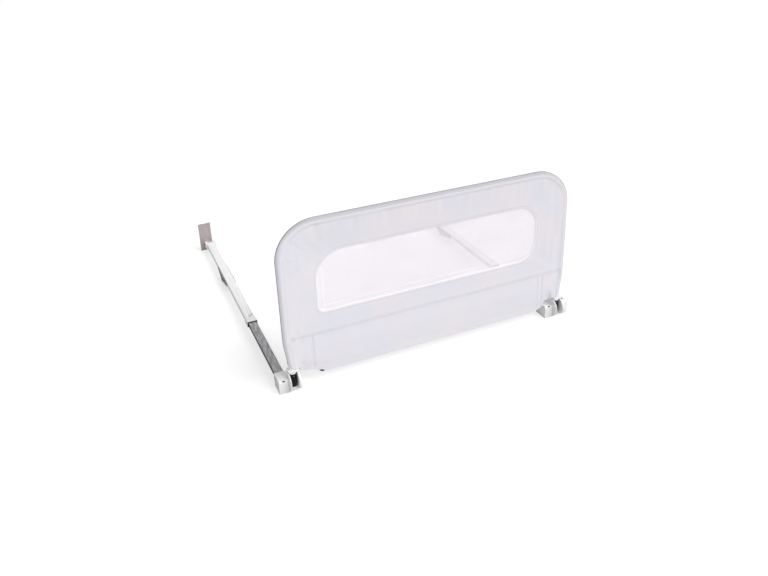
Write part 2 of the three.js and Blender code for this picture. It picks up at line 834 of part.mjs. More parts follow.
function hingeBracket(carriesHousing) {
  const front = roundedNose();
  const rear = block(-blockLeft, -blockRearRight, blockStepDepth - fitGap, blockRear, floorZ, blockTop);
  const flange = rodX(flangeRadius, -flangeOuter, -cheekInner, 0, 0, fineSides);
  const cheek = rodX(cheekRadius, cheekInner, cheekOuter, 0, 0, fineSides);
  const foot = block(cheekInner, cheekOuter, blockStepDepth, blockRear, floorZ, 0);
  const bridge = block(-flangeOuter, cheekOuter, blockRear - bridgeThickness, blockRear, floorZ, bridgeRise);
  const chamber = block(
    fitGap - blockLeft + blockWall, -flangeOuter, -chamberFront, chamberRear, -chamberFloor, chamberRoof
  );
  const socket = prismY(
    armSection(innerTubeWidth + 2 * fitGap, innerTubeHeight + 2 * fitGap),
    blockRear - socketDepth, blockRear + cutOverrun
  );
  const slot = tabPrism(-slotLeft, -slotRight, slotHalfThickness, blockFront);
  const pinBore = rodX(pinRadius + fitGap, -flangeOuter - cutOverrun, cheekOuter + cutOverrun, 0, 0);
  const boltHole = rodX(
    boltRadius + fitGap, -flangeOuter - cutOverrun, -cheekInner + cutOverrun, -boltForward, boltRise, smallSides
  );
  const rivetBore = rodX(
    socketRivetRadius + fitGap, -blockLeft - cutOverrun, -blockRearRight + cutOverrun,
    blockRear - socketRivetInset, armCentreHeight, smallSides
  );
  const bracket = cut(
    join(front, rear, flange, cheek, foot, bridge), chamber, socket, slot, pinBore, boltHole, rivetBore
  );
  const screwBore = rodX(
    screwRadius + fitGap, cheekInner - cutOverrun, cheekOuter + cutOverrun,
    housingScrewBack, -housingScrewDrop, smallSides
  );
  return carriesHousing ? cut(bracket, screwBore) : bracket;
}

// Front half of the arm socket block, with its upper front edge rounded
function roundedNose() {
  const shape = new THREE.Shape();
  shape.moveTo(blockStepDepth, floorZ);
  shape.lineTo(blockStepDepth, blockTop);
  shape.lineTo(blockNoseRadius - blockFront, blockTop);
  shape.absarc(blockNoseRadius - blockFront, blockTop - blockNoseRadius, blockNoseRadius, Math.PI / 2, Math.PI);
  shape.lineTo(-blockFront, floorZ);
  shape.closePath();
  return prismX(shape, -blockLeft, -flangeOuter + blockOverlap);
}

function pivotPin() {
  const leftHead = -flangeOuter - fitGap;
  const rightHead = cheekOuter + fitGap;
  return join(
    rodX(pinRadius, leftHead - fitGap, rightHead + fitGap, 0, 0),
    rodX(pinHeadRadius, leftHead - pinHeadThickness, leftHead, 0, 0),
    rodX(pinHeadRadius, rightHead, rightHead + pinHeadThickness, 0, 0)
  );
}

function lockSlider() {
  const body = block(
    -sliderLeft, -sliderRight, -boltForward - sliderHalfSize, -boltForward + sliderHalfSize,
    boltRise - sliderHalfSize, boltRise + sliderHalfSize
  );
  const bolt = rodX(boltRadius, -sliderRight - sliderHalfSize, -cheekInner, -boltForward, boltRise, smallSides);
  const noseDepth = blockFront - boltForward;
  const toSurface = (noseDepth - blockNoseRadius) * Math.SQRT2 + blockNoseRadius;
  const tab = tabPrism(-tabLeft, -tabRight, tabHalfThickness, toSurface - fitGap);
  return join(body, bolt, tab);
}

// Coil spring between the slider and the block's left wall
function lockSpring() {
  const from = fitGap - blockLeft + blockWall + lockSpringWire + fitGap;
  const to = -sliderLeft - fitGap - lockSpringWire;
  class Coil extends THREE.Curve {
    getPoint(share, target = new THREE.Vector3()) {
      const angle = share * lockSpringTurns * Math.PI * 2;
      return target.set(
        from + (to - from) * share,
        -boltForward + lockSpringRadius * Math.cos(angle),
        boltRise + lockSpringRadius * Math.sin(angle)
      );
    }
  }
  const wire = new THREE.Shape();
  wire.absarc(0, 0, lockSpringWire, 0, Math.PI * 2);
  const geometry = new THREE.ExtrudeGeometry(wire, {
    steps: lockSpringTurns * lockSpringStepsPerTurn,
    bevelEnabled: false,
    curveSegments: cornerSteps,
    extrudePath: new Coil(),
  });
  return toSolid(geometry);
}

// Outboard housing of the right hinge
function lockHousing() {
  const inner = cheekOuter + fitGap;
  const outer = inner + housingWidth;
  const shell = prismX(
    roundedRectangle(-housingFront, housingRear, floorZ, housingTop, housingCornerRadius), inner, outer
  );
  const room = block(
    inner - cutOverrun, outer - housingWall, housingWall - housingFront, housingRear - housingWall,
    floorZ + housingWall, housingTop - housingWall
  );
  const buttonHole = block(
    releaseCentreX - releaseWidth / 2 - fitGap, releaseCentreX + releaseWidth / 2 + fitGap,
    releaseCentreY - releaseDepth / 2 - fitGap, releaseCentreY + releaseDepth / 2 + fitGap,
    0, housingTop + cutOverrun
  );
  const post = rodX(
    screwHeadRadius + fitGap + screwRadius, inner, outer, housingScrewBack, -housingScrewDrop, smallSides
  );
  const bore = rodX(
    screwRadius + fitGap, inner - cutOverrun, outer + cutOverrun, housingScrewBack, -housingScrewDrop, smallSides
  );
  const headSink = rodX(
    screwHeadRadius + fitGap, outer - housingWall, outer + cutOverrun, housingScrewBack, -housingScrewDrop, smallSides
  );
  return cut(join(cut(shell, room, buttonHole), post), bore, headSink);
}

function releaseButton() {
  return block(
    releaseCentreX - releaseWidth / 2, releaseCentreX + releaseWidth / 2,
    releaseCentreY - releaseDepth / 2, releaseCentreY + releaseDepth / 2,
    housingTop + releaseProud - releaseHeight, housingTop + releaseProud
  );
}

function housingScrew() {
  const outer = cheekOuter + fitGap + housingWidth;
  const headOuter = outer - fitGap;
  const headInner = headOuter - screwHeadThickness;
  return join(
    rodX(screwRadius, cheekInner + fitGap, headInner + fitGap, housingScrewBack, -housingScrewDrop, smallSides),
    rodX(screwHeadRadius, headInner, headOuter, housingScrewBack, -housingScrewDrop, smallSides)
  );
}

// Telescopic arm

function armSection(width, height) {
  return roundedRectangle(
    -armOffset - width / 2, -armOffset + width / 2, armCentreHeight - height / 2, armCentreHeight + height / 2,
    armTubeCorner
  );
}

function armTube(width, height, y0, y1) {
  return cut(
    prismY(armSection(width, height), y0, y1),
    prismY(armSection(width - 2 * armTubeWall, height - 2 * armTubeWall), y0 - cutOverrun, y1 + cutOverrun)
  );
}

// A rivet across the arm with a head on each side
function armRivet(y, z, radius, headRadius, headThickness, halfGrip) {
  const grip = halfGrip + fitGap;
  return join(
    rodX(radius, -armOffset - grip - fitGap, -armOffset + grip + fitGap, y, z, smallSides),
    rodX(headRadius, -armOffset - grip - headThickness, -armOffset - grip, y, z, smallSides),
    rodX(headRadius, -armOffset + grip, -armOffset + grip + headThickness, y, z, smallSides)
  );
}

function armBore(y, z, radius) {
  const reach = outerTubeWidth;
  return rodX(radius + fitGap, -armOffset - reach, -armOffset + reach, y, z, smallSides);
}

function innerTube() {
  const start = blockRear - socketDepth + fitGap;
  return cut(
    armTube(innerTubeWidth, innerTubeHeight, start, innerTubeEnd),
    armBore(blockRear - socketRivetInset, armCentreHeight, socketRivetRadius)
  );
}

function socketRivet() {
  const y = blockRear - socketRivetInset;
  const leftFace = -blockLeft - fitGap;
  return join(
    rodX(socketRivetRadius, leftFace - fitGap, -blockRearRight - fitGap, y, armCentreHeight, smallSides),
    rodX(socketRivetHeadRadius, leftFace - socketRivetHeadThickness, leftFace, y, armCentreHeight, smallSides)
  );
}

function outerTube() {
  return cut(
    armTube(outerTubeWidth, outerTubeHeight, outerTubeStart, foldSplit),
    armBore(bracketRivetY, armCentreHeight, bracketRivetRadius),
    rodZ(
      buttonRadius + fitGap, -armOffset + buttonSide, buttonY,
      armCentreHeight, outerTubeTop + cutOverrun, smallSides
    )
  );
}

function armCollar() {
  const width = outerTubeWidth + 2 * fitGap + 2 * armCollarWall;
  const height = outerTubeHeight + 2 * fitGap + 2 * armCollarWall;
  const end = armCollarStart + armCollarLength;
  const bossTop = outerTubeTop + fitGap + buttonBossHeight;
  const boss = block(
    -armOffset + buttonSide - buttonBossHalf, -armOffset + buttonSide + buttonBossHalf, end - fitGap,
    buttonY + buttonBossHalf, outerTubeTop + fitGap, bossTop
  );
  const ring = prismY(armSection(width, height), armCollarStart, end);
  const seat = prismY(
    armSection(outerTubeWidth + 2 * fitGap, outerTubeHeight + 2 * fitGap), outerTubeStart - fitGap, end + cutOverrun
  );
  const mouth = prismY(
    armSection(innerTubeWidth + 2 * fitGap, innerTubeHeight + 2 * fitGap), armCollarStart - cutOverrun, outerTubeStart
  );
  const well = rodZ(
    buttonRadius + fitGap, -armOffset + buttonSide, buttonY,
    outerTubeTop - cutOverrun, bossTop + cutOverrun, smallSides
  );
  return cut(join(ring, boss), seat, mouth, well);
}

function sizeButton() {
  const bottom = armCentreHeight + innerTubeHeight / 2 + buttonProud + fitGap;
  const shoulder = outerTubeTop + fitGap + buttonBossHeight;
  const solid = turned([
    [0, bottom],
    [buttonRadius, bottom],
    [buttonRadius, shoulder],
    [buttonRadius - buttonProud / 2, shoulder + buttonProud],
    [0, shoulder + buttonProud],
  ], smallSides);
  return solid.translate([-armOffset + buttonSide, buttonY, 0]);
}

// Middle fold: a steel bracket on the near tube carries the pin that the far tube's lug hangs on

function bracketOutline() {
  const shape = new THREE.Shape();
  const webBottom = tubeUnderside - fitGap - foldPlateThickness;
  shape.moveTo(foldPlateStart, bracketTop);
  shape.lineTo(foldPlateStart, tubeUnderside + fitGap);
  shape.lineTo(foldWebStart, webBottom);
  for (let i = 0; i <= smallSides; i += 1) {
    const angle = Math.PI / 180 * (foldLobeFromDegrees + foldLobeSweepDegrees * i / smallSides);
    shape.lineTo(foldPinY + foldLobeRadius * Math.cos(angle), foldPinZ + foldLobeRadius * Math.sin(angle));
  }
  shape.lineTo(foldPlateEnd, bracketTop - foldTipHeight);
  shape.lineTo(foldPlateEnd, bracketTop);
  shape.closePath();
  return shape;
}

function foldBracket() {
  const leftPlate = prismX(bracketOutline(), -armOffset - bracketHalfWidth, -armOffset - bracketHalfGap);
  const rightPlate = prismX(bracketOutline(), -armOffset + bracketHalfGap, -armOffset + bracketHalfWidth);
  const webTop = tubeUnderside - fitGap;
  const web = block(
    -armOffset - bracketHalfGap - fitGap, -armOffset + bracketHalfGap + fitGap, foldWebStart, foldWebEnd,
    webTop - foldPlateThickness, webTop
  );
  return cut(
    join(leftPlate, rightPlate, web),
    armBore(foldPinY, foldPinZ, foldPinRadius),
    armBore(bracketRivetY, armCentreHeight, bracketRivetRadius)
  );
}

function farTube() {
  const halfNotch = outerTubeInnerWidth / 2;
  const notch = block(
    -armOffset - halfNotch, -armOffset + halfNotch, farTubeStart - cutOverrun,
    farTubeStart + lugNeckLength + fitGap, tubeUnderside - cutOverrun, armCentreHeight
  );
  return cut(
    armTube(outerTubeWidth, outerTubeHeight, farTubeStart, farTubeEnd),
    notch,
    armBore(lugRivetY, armCentreHeight, tubeRivetRadius)
  );
}

function foldLug() {
  const start = farTubeStart + fitGap;
  const halfWidth = outerTubeInnerWidth / 2 - fitGap;
  const halfHeight = outerTubeInnerHeight / 2 - fitGap;
  const plug = prismY(armSection(2 * halfWidth, 2 * halfHeight), start, start + lugPlugLength);
  const neck = block(
    -armOffset - halfWidth, -armOffset + halfWidth, start, start + lugNeckLength - fitGap, foldPinZ, armCentreHeight
  );
  const eyeHalf = bracketHalfGap - fitGap;
  const eye = rodX(lugEyeRadius, -armOffset - eyeHalf, -armOffset + eyeHalf, foldPinY, foldPinZ);
  return cut(
    join(plug, neck, eye),
    armBore(foldPinY, foldPinZ, foldPinRadius),
    armBore(lugRivetY, armCentreHeight, tubeRivetRadius)
  );
}

function foldPin() {
  return armRivet(foldPinY, foldPinZ, foldPinRadius, foldPinHeadRadius, foldPinHeadThickness, bracketHalfWidth);
}

function bracketRivet() {
  return armRivet(
    bracketRivetY, armCentreHeight, bracketRivetRadius,
    bracketRivetHeadRadius, bracketRivetHeadThickness, bracketHalfWidth
  );
}

// Flush rivet through the far tube and its lug, under the bracket's plates
function lugRivet() {
  const half = outerTubeWidth / 2;
  return rodX(
    tubeRivetRadius, -armOffset - half, -armOffset + half, lugRivetY, armCentreHeight, smallSides
  );
}

// End knuckle: plug in the far tube, then a fork that holds the anchor plate's pin
function endKnuckle() {
  const bodyStart = farTubeEnd + fitGap;
  const bodyEnd = bodyStart + endKnuckleBody;
  const left = -armOffset - endKnuckleHalfWidth;
  const right = -armOffset + endKnuckleHalfWidth;
  const bottom = armCentreHeight - endKnuckleBelow;
  const top = armCentreHeight + endKnuckleAbove;
  const body = prismY(roundedRectangle(left, right, bottom, top, armTubeCorner), bodyStart, bodyEnd);
  const cheekHalf = (top - bottom) / 2;
  const cheeks = join(
    block(left, right, bodyEnd - fitGap, anchorPinY, anchorPinZ - cheekHalf, anchorPinZ + cheekHalf),
    rodX(cheekHalf, left, right, anchorPinY, anchorPinZ, fineSides)
  );
  const plug = prismY(
    armSection(outerTubeInnerWidth - 2 * fitGap, outerTubeInnerHeight - 2 * fitGap),
    farTubeEnd - endKnucklePlug, bodyStart + fitGap
  );
  const gap = block(
    -armOffset - forkHalfGap, -armOffset + forkHalfGap, bodyEnd, plateFace, bottom - cutOverrun, top + cutOverrun
  );
  return cut(join(body, cheeks, plug), gap, armBore(anchorPinY, anchorPinZ, anchorPinRadius));
}

function anchorPin() {
  return armRivet(
    anchorPinY, anchorPinZ, anchorPinRadius, anchorPinHeadRadius, anchorPinHeadThickness, endKnuckleHalfWidth
  );
}

function anchorPlate() {
  const left = -armOffset - plateLeft;
  const stripFrom = -armOffset + plateRight - plateStripWidth;
  const right = -armOffset + plateRight;
  const shape = new THREE.Shape();
  shape.moveTo(left, plateFace);
  shape.lineTo(stripFrom, plateFace);
  shape.lineTo(stripFrom + plateStripSet, plateFace + plateStripSet);
  shape.lineTo(right, plateFace + plateStripSet);
  shape.lineTo(right, plateBack);
  shape.lineTo(stripFrom + plateStripSet - plateJogInset, plateBack);
  shape.lineTo(stripFrom - plateJogInset, plateFace + plateThickness);
  shape.lineTo(left, plateFace + plateThickness);
  shape.closePath();
  const sheet = prismZ(shape, floorZ, floorZ + plateHeight);
  const barrelHalf = forkHalfGap - fitGap;
  const barrel = rodX(plateBarrelRadius, -armOffset - barrelHalf, -armOffset + barrelHalf, anchorPinY, anchorPinZ);
  const web = block(
    -armOffset - barrelHalf, -armOffset + barrelHalf, anchorPinY, plateFace + fitGap,
    anchorPinZ - plateWebHalf, anchorPinZ + plateWebHalf
  );
  return cut(join(sheet, barrel, web), armBore(anchorPinY, anchorPinZ, anchorPinRadius));
}

// The plate turned on its pin until it lies over the arm
function foldedPlate() {
  return anchorPlate()
    .translate([0, -anchorPinY, -anchorPinZ])
    .rotate([foldedPlateDegrees, 0, 0])
    .translate([0, anchorPinY, anchorPinZ]);
}

// Assembly: the guard about x = 0, then each hinge and its arm about the hinge's own axis
const guard = new THREE.Group();
model.add(guard);
place(guard, "left_upright", upright().mirror([1, 0, 0]), whiteSteel);
place(guard, "right_upright", upright(), whiteSteel);
place(guard, "top_rail", topRail(), whiteSteel);
place(guard, "cross_bar", crossBar(), whiteSteel);
place(guard, "left_cross_bar_screw", crossBarScrew().mirror([1, 0, 0]), pinSteel);
place(guard, "right_cross_bar_screw", crossBarScrew(), pinSteel);
place(guard, "fabric_cover", fabricCover(), coverFabric);
place(guard, "window_net", netWindow(), netFabric);
place(guard, "hem_pull", hemPull(), blackPlastic);

for (const side of ["left", "right"]) {
  const sign = side === "left" ? -1 : 1;
  const hinge = new THREE.Group();
  hinge.position.x = sign * hingeX;
  model.add(hinge);
  const arm = new THREE.Group();
  arm.position.set(sign * hingeX, side === "right" ? -rightArmPush : 0, 0);
  model.add(arm);
  place(hinge, `${side}_knuckle`, knuckle(), blackPlastic);
  place(hinge, `${side}_knuckle_cap`, knuckleCap(), whitePlastic);
  place(hinge, `${side}_tube_collar`, tubeCollar(), whitePlastic);
  place(hinge, `${side}_tube_rivet`, tubeRivet(), pinSteel);
  place(hinge, `${side}_hinge_bracket`, hingeBracket(side === "right"), whitePlastic);
  place(hinge, `${side}_pivot_pin`, pivotPin(), pinSteel);
  place(hinge, `${side}_lock_slider`, lockSlider(), blackPlastic);
  place(hinge, `${side}_lock_spring`, lockSpring(), pinSteel);
  place(hinge, `${side}_inner_tube`, innerTube(), darkSteel);
  place(hinge, `${side}_socket_rivet`, socketRivet(), pinSteel);
  place(arm, `${side}_outer_tube`, outerTube(), whiteSteel);
  place(arm, `${side}_arm_collar`, armCollar(), whitePlastic);
  place(arm, `${side}_size_button`, sizeButton(), greyPlastic);
  place(arm, `${side}_fold_bracket`, foldBracket(), darkSteel);
  place(arm, `${side}_bracket_rivet`, bracketRivet(), pinSteel);
  place(arm, `${side}_fold_pin`, foldPin(), pinSteel);
  place(arm, `${side}_far_tube`, farTube(), whiteSteel);
  place(arm, `${side}_fold_lug`, foldLug(), blackPlastic);
  place(arm, `${side}_lug_rivet`, lugRivet(), pinSteel);
  place(arm, `${side}_end_knuckle`, endKnuckle(), whitePlastic);
  place(arm, `${side}_anchor_pin`, anchorPin(), pinSteel);
  place(arm, `${side}_anchor_plate`, side === "right" ? foldedPlate() : anchorPlate(), bareSteel);
  if (side === "right") {
    place(hinge, "lock_housing", lockHousing(), whitePlastic);
    place(hinge, "release_button", releaseButton(), blackPlastic);
    place(hinge, "housing_screw", housingScrew(), pinSteel);
  }
}

// The origin is the bottom centre of everything
const reachLeft = hingeX + armOffset + plateLeft;
const reachRight = hingeX + cheekOuter + fitGap + housingWidth;
model.position.set((reachLeft - reachRight) / 2, (flangeRadius - plateBack) / 2, pivotHeight);

export default model;
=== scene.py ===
"""Looks of a folding bed guard rail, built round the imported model. Lengths are in metres.

Names ending in _MM are in millimetres. Places among them are about the guard's own origin, the middle of the
panel on the hinge axis. The values of the hinges and arms are in millimetres too, about the hinge's axis.
"""

import math

import bmesh
import bpy
from mathutils import Matrix, Vector, noise
from mathutils.bvhtree import BVHTree


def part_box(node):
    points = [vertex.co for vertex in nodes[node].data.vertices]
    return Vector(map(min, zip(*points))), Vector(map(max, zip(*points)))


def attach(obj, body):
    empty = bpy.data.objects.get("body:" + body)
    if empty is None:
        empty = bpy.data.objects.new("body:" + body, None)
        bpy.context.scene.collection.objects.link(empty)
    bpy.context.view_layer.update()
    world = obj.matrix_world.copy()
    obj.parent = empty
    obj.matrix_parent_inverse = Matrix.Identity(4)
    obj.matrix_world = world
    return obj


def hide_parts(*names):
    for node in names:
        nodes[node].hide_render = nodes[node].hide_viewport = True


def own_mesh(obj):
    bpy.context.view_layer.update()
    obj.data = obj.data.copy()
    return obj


MM = 0.001
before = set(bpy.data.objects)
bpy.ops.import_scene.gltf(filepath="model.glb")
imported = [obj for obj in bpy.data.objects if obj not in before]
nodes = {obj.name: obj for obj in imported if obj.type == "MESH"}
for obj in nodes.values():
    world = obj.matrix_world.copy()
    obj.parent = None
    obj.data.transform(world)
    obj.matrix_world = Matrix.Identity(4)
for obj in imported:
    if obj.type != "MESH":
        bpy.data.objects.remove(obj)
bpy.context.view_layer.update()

# Places read from the frame
SIDES = ("left", "right")


def box_axis(node):
    """A node's low and high corners and its middle."""
    low, high = (Vector(v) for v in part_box(node))
    return low, high, (low + high) / 2


def middle(node):
    return box_axis(node)[2]


def middle_from(place, node):
    """A node's middle in millimetres about a place."""
    return (middle(node) - place) / MM


def box_from(place, node):
    """A node's low and high corners in millimetres about a place."""
    return [(Vector(v) - place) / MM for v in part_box(node)]


HINGES = {side: middle(f"{side}_knuckle") for side in SIDES}
ORIGIN = (HINGES["left"] + HINGES["right"]) / 2
RIGHT_PUSH = Vector((0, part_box("left_outer_tube")[0][1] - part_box("right_outer_tube")[0][1], 0))
ARMS = {"left": HINGES["left"], "right": HINGES["right"] - RIGHT_PUSH}
HINGE_X = (HINGES["right"].x - ORIGIN.x) / MM


# Materials

def feed(node, **inputs):
    """Gives a node its inputs: another node's output is linked, and anything else is the input's value."""
    for key, value in inputs.items():
        socket = node.inputs[key.replace("_", " ")]
        if isinstance(value, bpy.types.NodeSocket):
            node.id_data.links.new(value, socket)
        else:
            socket.default_value = value
    return node


def new_material(name, **inputs):
    material = bpy.data.materials.new(name)
    material.use_nodes = True
    tree = material.node_tree
    return material, tree, feed(tree.nodes["Principled BSDF"], **inputs)


def add_node(tree, kind, **inputs):
    return feed(tree.nodes.new(kind), **inputs)


def add_math(tree, operation, first, second):
    """An output and a second one, or a number, put through one operation."""
    node = tree.nodes.new("ShaderNodeMath")
    node.operation = operation
    tree.links.new(first, node.inputs[0])
    if isinstance(second, float):
        node.inputs[1].default_value = second
    else:
        tree.links.new(second, node.inputs[1])
    return node.outputs["Value"]


def spread(tree, value, start=0.0, end=1.0, low=0.0, high=1.0):
    """A value's run from start to end, made a run from low to high."""
    ends = {"From_Min": start, "From_Max": end, "To_Min": low, "To_Max": high}
    return add_node(tree, "ShaderNodeMapRange", Value=value, **ends).outputs["Result"]


def object_coordinates(tree, scale=(1, 1, 1)):
    places = tree.nodes.new("ShaderNodeTexCoord").outputs["Object"]
    return add_node(tree, "ShaderNodeMapping", Vector=places, Scale=scale).outputs["Vector"]


def linear(colour):
    """sRGB shares to the linear values that shaders take."""
    return tuple(c / 12.92 if c <= 0.04045 else ((c + 0.055) / 1.055) ** 2.4 for c in colour)


def ramp(tree, factor, low, high, low_at=0.35, high_at=0.65):
    """A colour output that goes from one colour to another with a factor."""
    node = add_node(tree, "ShaderNodeValToRGB", Fac=factor)
    for element, place, colour in zip(node.color_ramp.elements, (low_at, high_at), (low, high)):
        element.position = place
        element.color = (*linear(colour), 1)
    return node.outputs["Color"]


def noise_of(tree, vector, scale, detail=2.0):
    return add_node(tree, "ShaderNodeTexNoise", Vector=vector, Scale=scale, Detail=detail).outputs["Fac"]


def add_bump(tree, shader, height, strength, distance, before=None):
    """Relief on a shader, over the relief before it."""
    node = add_node(tree, "ShaderNodeBump", Height=height, Strength=strength, Distance=distance)
    if before is not None:
        feed(node, Normal=before)
    feed(shader, Normal=node.outputs["Normal"])
    return node.outputs["Normal"]


def facing(tree, direction, start, end):
    """From 0 to 1 as the surface turns towards a direction of the object's own."""
    source = tree.nodes.new("ShaderNodeTexCoord")
    turned = tree.nodes.new("ShaderNodeVectorMath")
    turned.operation = "DOT_PRODUCT"
    turned.inputs[1].default_value = direction
    tree.links.new(source.outputs["Normal"], turned.inputs[0])
    return spread(tree, turned.outputs["Value"], start, end)


def tint(tree, base, colour, share):
    """A colour output that goes from base to a plain colour with share."""
    mix = tree.nodes.new("ShaderNodeMix")
    mix.data_type = "RGBA"
    feed(mix, Factor=share, A=base, B=(*linear(colour), 1))
    return mix.outputs["Result"]


def woven(name, light, dark, thread_pitch, sheen=0.25, rim=None):
    """Plain woven cloth: crossed threads in relief and a soft uneven tone, and painted shade that greys it to
    the rim colour where it wraps the rim and faces up and to the right.
    """
    material, tree, shader = new_material(name, Roughness=0.85, Sheen_Weight=sheen, Sheen_Roughness=0.4)
    vector = object_coordinates(tree)
    base = ramp(tree, noise_of(tree, vector, scale=7.0, detail=3.0), dark, light)
    # Painted shade: where the cloth turns up and to the right round the rim, its tone goes over to the darker
    # rim colour
    if rim:
        base = tint(tree, base, rim, facing(tree, PAINTED_SHADE_WAY, *PAINTED_SHADE_SHARES))
    feed(shader, Base_Color=base)
    threads = []
    for direction in ("X", "Z"):
        scale = 1 / (thread_pitch * 2 * math.pi)
        bands = add_node(tree, "ShaderNodeTexWave", Vector=vector, Scale=scale, Distortion=0.6)
        bands.bands_direction = direction
        threads.append(bands.outputs["Fac"])
    cross = add_math(tree, "MAXIMUM", *threads)
    weave = add_bump(tree, shader, cross, strength=0.25, distance=thread_pitch * 0.3)
    crumple = noise_of(tree, vector, scale=28.0, detail=4.0)
    add_bump(tree, shader, crumple, strength=0.12, distance=0.004, before=weave)
    return material


def moulded(name, light, dark, roughness, shine=0.5):
    """Moulded plastic: fine grain, with faint handling marks in tone and gloss."""
    material, tree, shader = new_material(name, Specular_IOR_Level=shine)
    vector = object_coordinates(tree)
    tone = noise_of(tree, vector, scale=45.0, detail=3.0)
    marks = noise_of(tree, vector, scale=110.0)
    gloss = spread(tree, marks, 0.3, 0.7, low=roughness - 0.06, high=roughness + 0.08)
    feed(shader, Base_Color=ramp(tree, tone, dark, light), Roughness=gloss)
    grain = noise_of(tree, vector, scale=900.0, detail=1.0)
    add_bump(tree, shader, grain, strength=0.3, distance=0.00006)
    return material


def coated(name, light, dark, roughness):
    """Powder coat on steel: orange peel, and a darker tone where edges have been rubbed."""
    material, tree, shader = new_material(name, Roughness=roughness)
    vector = object_coordinates(tree)
    base = ramp(tree, noise_of(tree, vector, scale=20.0, detail=3.0), dark, light)
    geometry = tree.nodes.new("ShaderNodeNewGeometry")
    edge = spread(tree, geometry.outputs["Pointiness"], 0.53, 0.6)
    rubbed = add_math(tree, "MULTIPLY", edge, noise_of(tree, vector, scale=160.0))
    feed(shader, Base_Color=tint(tree, base, dark, rubbed))
    add_bump(tree, shader, noise_of(tree, vector, scale=420.0), strength=0.15, distance=0.00008)
    return material


def brushed(name, light, dark, roughness, along, metallic=1.0):
    """Bare or tinted steel, brushed along one direction."""
    material, tree, shader = new_material(name, Metallic=metallic)
    stretch = tuple(0.02 if i == along else 1.0 for i in range(3))
    streaks = noise_of(tree, object_coordinates(tree, stretch), scale=900.0)
    marks = noise_of(tree, object_coordinates(tree), scale=60.0, detail=3.0)
    gloss = spread(tree, marks, low=roughness - 0.08, high=roughness + 0.1)
    feed(shader, Base_Color=ramp(tree, streaks, dark, light), Roughness=gloss)
    add_bump(tree, shader, streaks, strength=0.1, distance=0.00005)
    return material


def flecked(name, light, dark, side, roughness):
    """Rolled steel under a thin coat: uneven flecks on the broad faces, and painted shade that makes the
    narrow sides nearly black.
    """
    material, tree, shader = new_material(name, Roughness=roughness, Metallic=0.35)
    flecks = noise_of(tree, object_coordinates(tree, (1, 0.16, 1)), scale=190.0, detail=4.0)
    base = ramp(tree, flecks, dark, light, low_at=0.38, high_at=0.62)
    # Painted shade: faces turned away from straight up and down, the narrow sides, go over to the near-black
    # side colour
    sides = add_math(tree, "MULTIPLY", *(facing(tree, (0, 0, way), 0.9, 0.55) for way in (1, -1)))
    feed(shader, Base_Color=tint(tree, base, side, sides))
    scratches = noise_of(tree, object_coordinates(tree, (1, 0.03, 1)), scale=700.0)
    streaks = add_bump(tree, shader, scratches, strength=0.15, distance=0.00006)
    dents = noise_of(tree, object_coordinates(tree), scale=260.0)
    add_bump(tree, shader, dents, strength=0.2, distance=0.0001, before=streaks)
    return material


# Painted shade on the cover where it wraps the rim: the way the shaded cloth faces, and the first and the
# full share of that turn
PAINTED_SHADE_WAY = (0.55, 0, 1)
PAINTED_SHADE_SHARES = (0.03, 0.6)

# Each material's lighter and darker tone are sRGB shares
MATERIALS = {
    # The cover's rim colour is painted shade on the cloth that faces up and to the right round the rim
    "cover_fabric": woven(
        "cover_cloth", (0.92, 0.903, 0.92), (0.897, 0.897, 0.932), 0.0007, rim=(0.755, 0.75, 0.77)
    ),
    "window_tape": woven("window_tape", (0.965, 0.95, 0.965), (0.945, 0.94, 0.96), 0.0006),
    "binding": woven("binding_tape", (0.72, 0.715, 0.745), (0.66, 0.655, 0.685), 0.0006),
    "tab_tape": woven("tab_tape", (0.30, 0.30, 0.31), (0.24, 0.24, 0.25), 0.0005),
    "net_fabric": woven("net_thread", (0.98, 0.955, 0.98), (0.965, 0.94, 0.97), 0.0004, sheen=0.1),
    "thread": woven("sewing_thread", (0.88, 0.865, 0.885), (0.84, 0.83, 0.85), 0.0003),
    "white_plastic": moulded("white_moulding", (0.95, 0.945, 0.945), (0.935, 0.93, 0.935), 0.33),
    "black_plastic": moulded("black_moulding", (0.06, 0.06, 0.065), (0.03, 0.03, 0.035), 0.28, shine=0.22),
    "grey_plastic": moulded("grey_moulding", (0.66, 0.66, 0.68), (0.62, 0.62, 0.64), 0.45),
    "white_steel": coated("white_powder_coat", (0.965, 0.965, 0.97), (0.95, 0.95, 0.955), 0.32),
    # The inner tube's third colour is painted shade on its narrow sides
    "tube_steel": flecked("flecked_steel", (0.70, 0.70, 0.71), (0.50, 0.50, 0.51), (0.12, 0.12, 0.13), 0.42),
    "dark_steel": brushed(
        "dark_coated_steel", (0.53, 0.53, 0.54), (0.48, 0.48, 0.49), 0.45, along=1, metallic=0.45
    ),
    "pin_steel": brushed("rivet_steel", (0.60, 0.59, 0.58), (0.50, 0.49, 0.48), 0.35, along=0),
    "bare_steel": brushed(
        "plate_steel", (0.80, 0.765, 0.757), (0.76, 0.725, 0.717), 0.42, along=2, metallic=0.7
    ),
}


# Mesh helpers

def add_object(name, data):
    added = bpy.data.objects.new(name, data)
    bpy.context.scene.collection.objects.link(added)
    return added


def mesh_object(name, verts, faces, smooth=True):
    mesh = bpy.data.meshes.new(name)
    mesh.from_pydata(verts, [], faces)
    mesh.validate()
    mesh.update()
    if smooth:
        mesh.shade_smooth()
    return add_object(name, mesh)


def paint(piece, material):
    piece.data.materials.clear()
    piece.data.materials.append(MATERIALS[material])


def finish_piece(piece, body, material, replaced=()):
    paint(piece, material)
    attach(piece, body)
    if replaced:
        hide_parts(*replaced)
    return piece


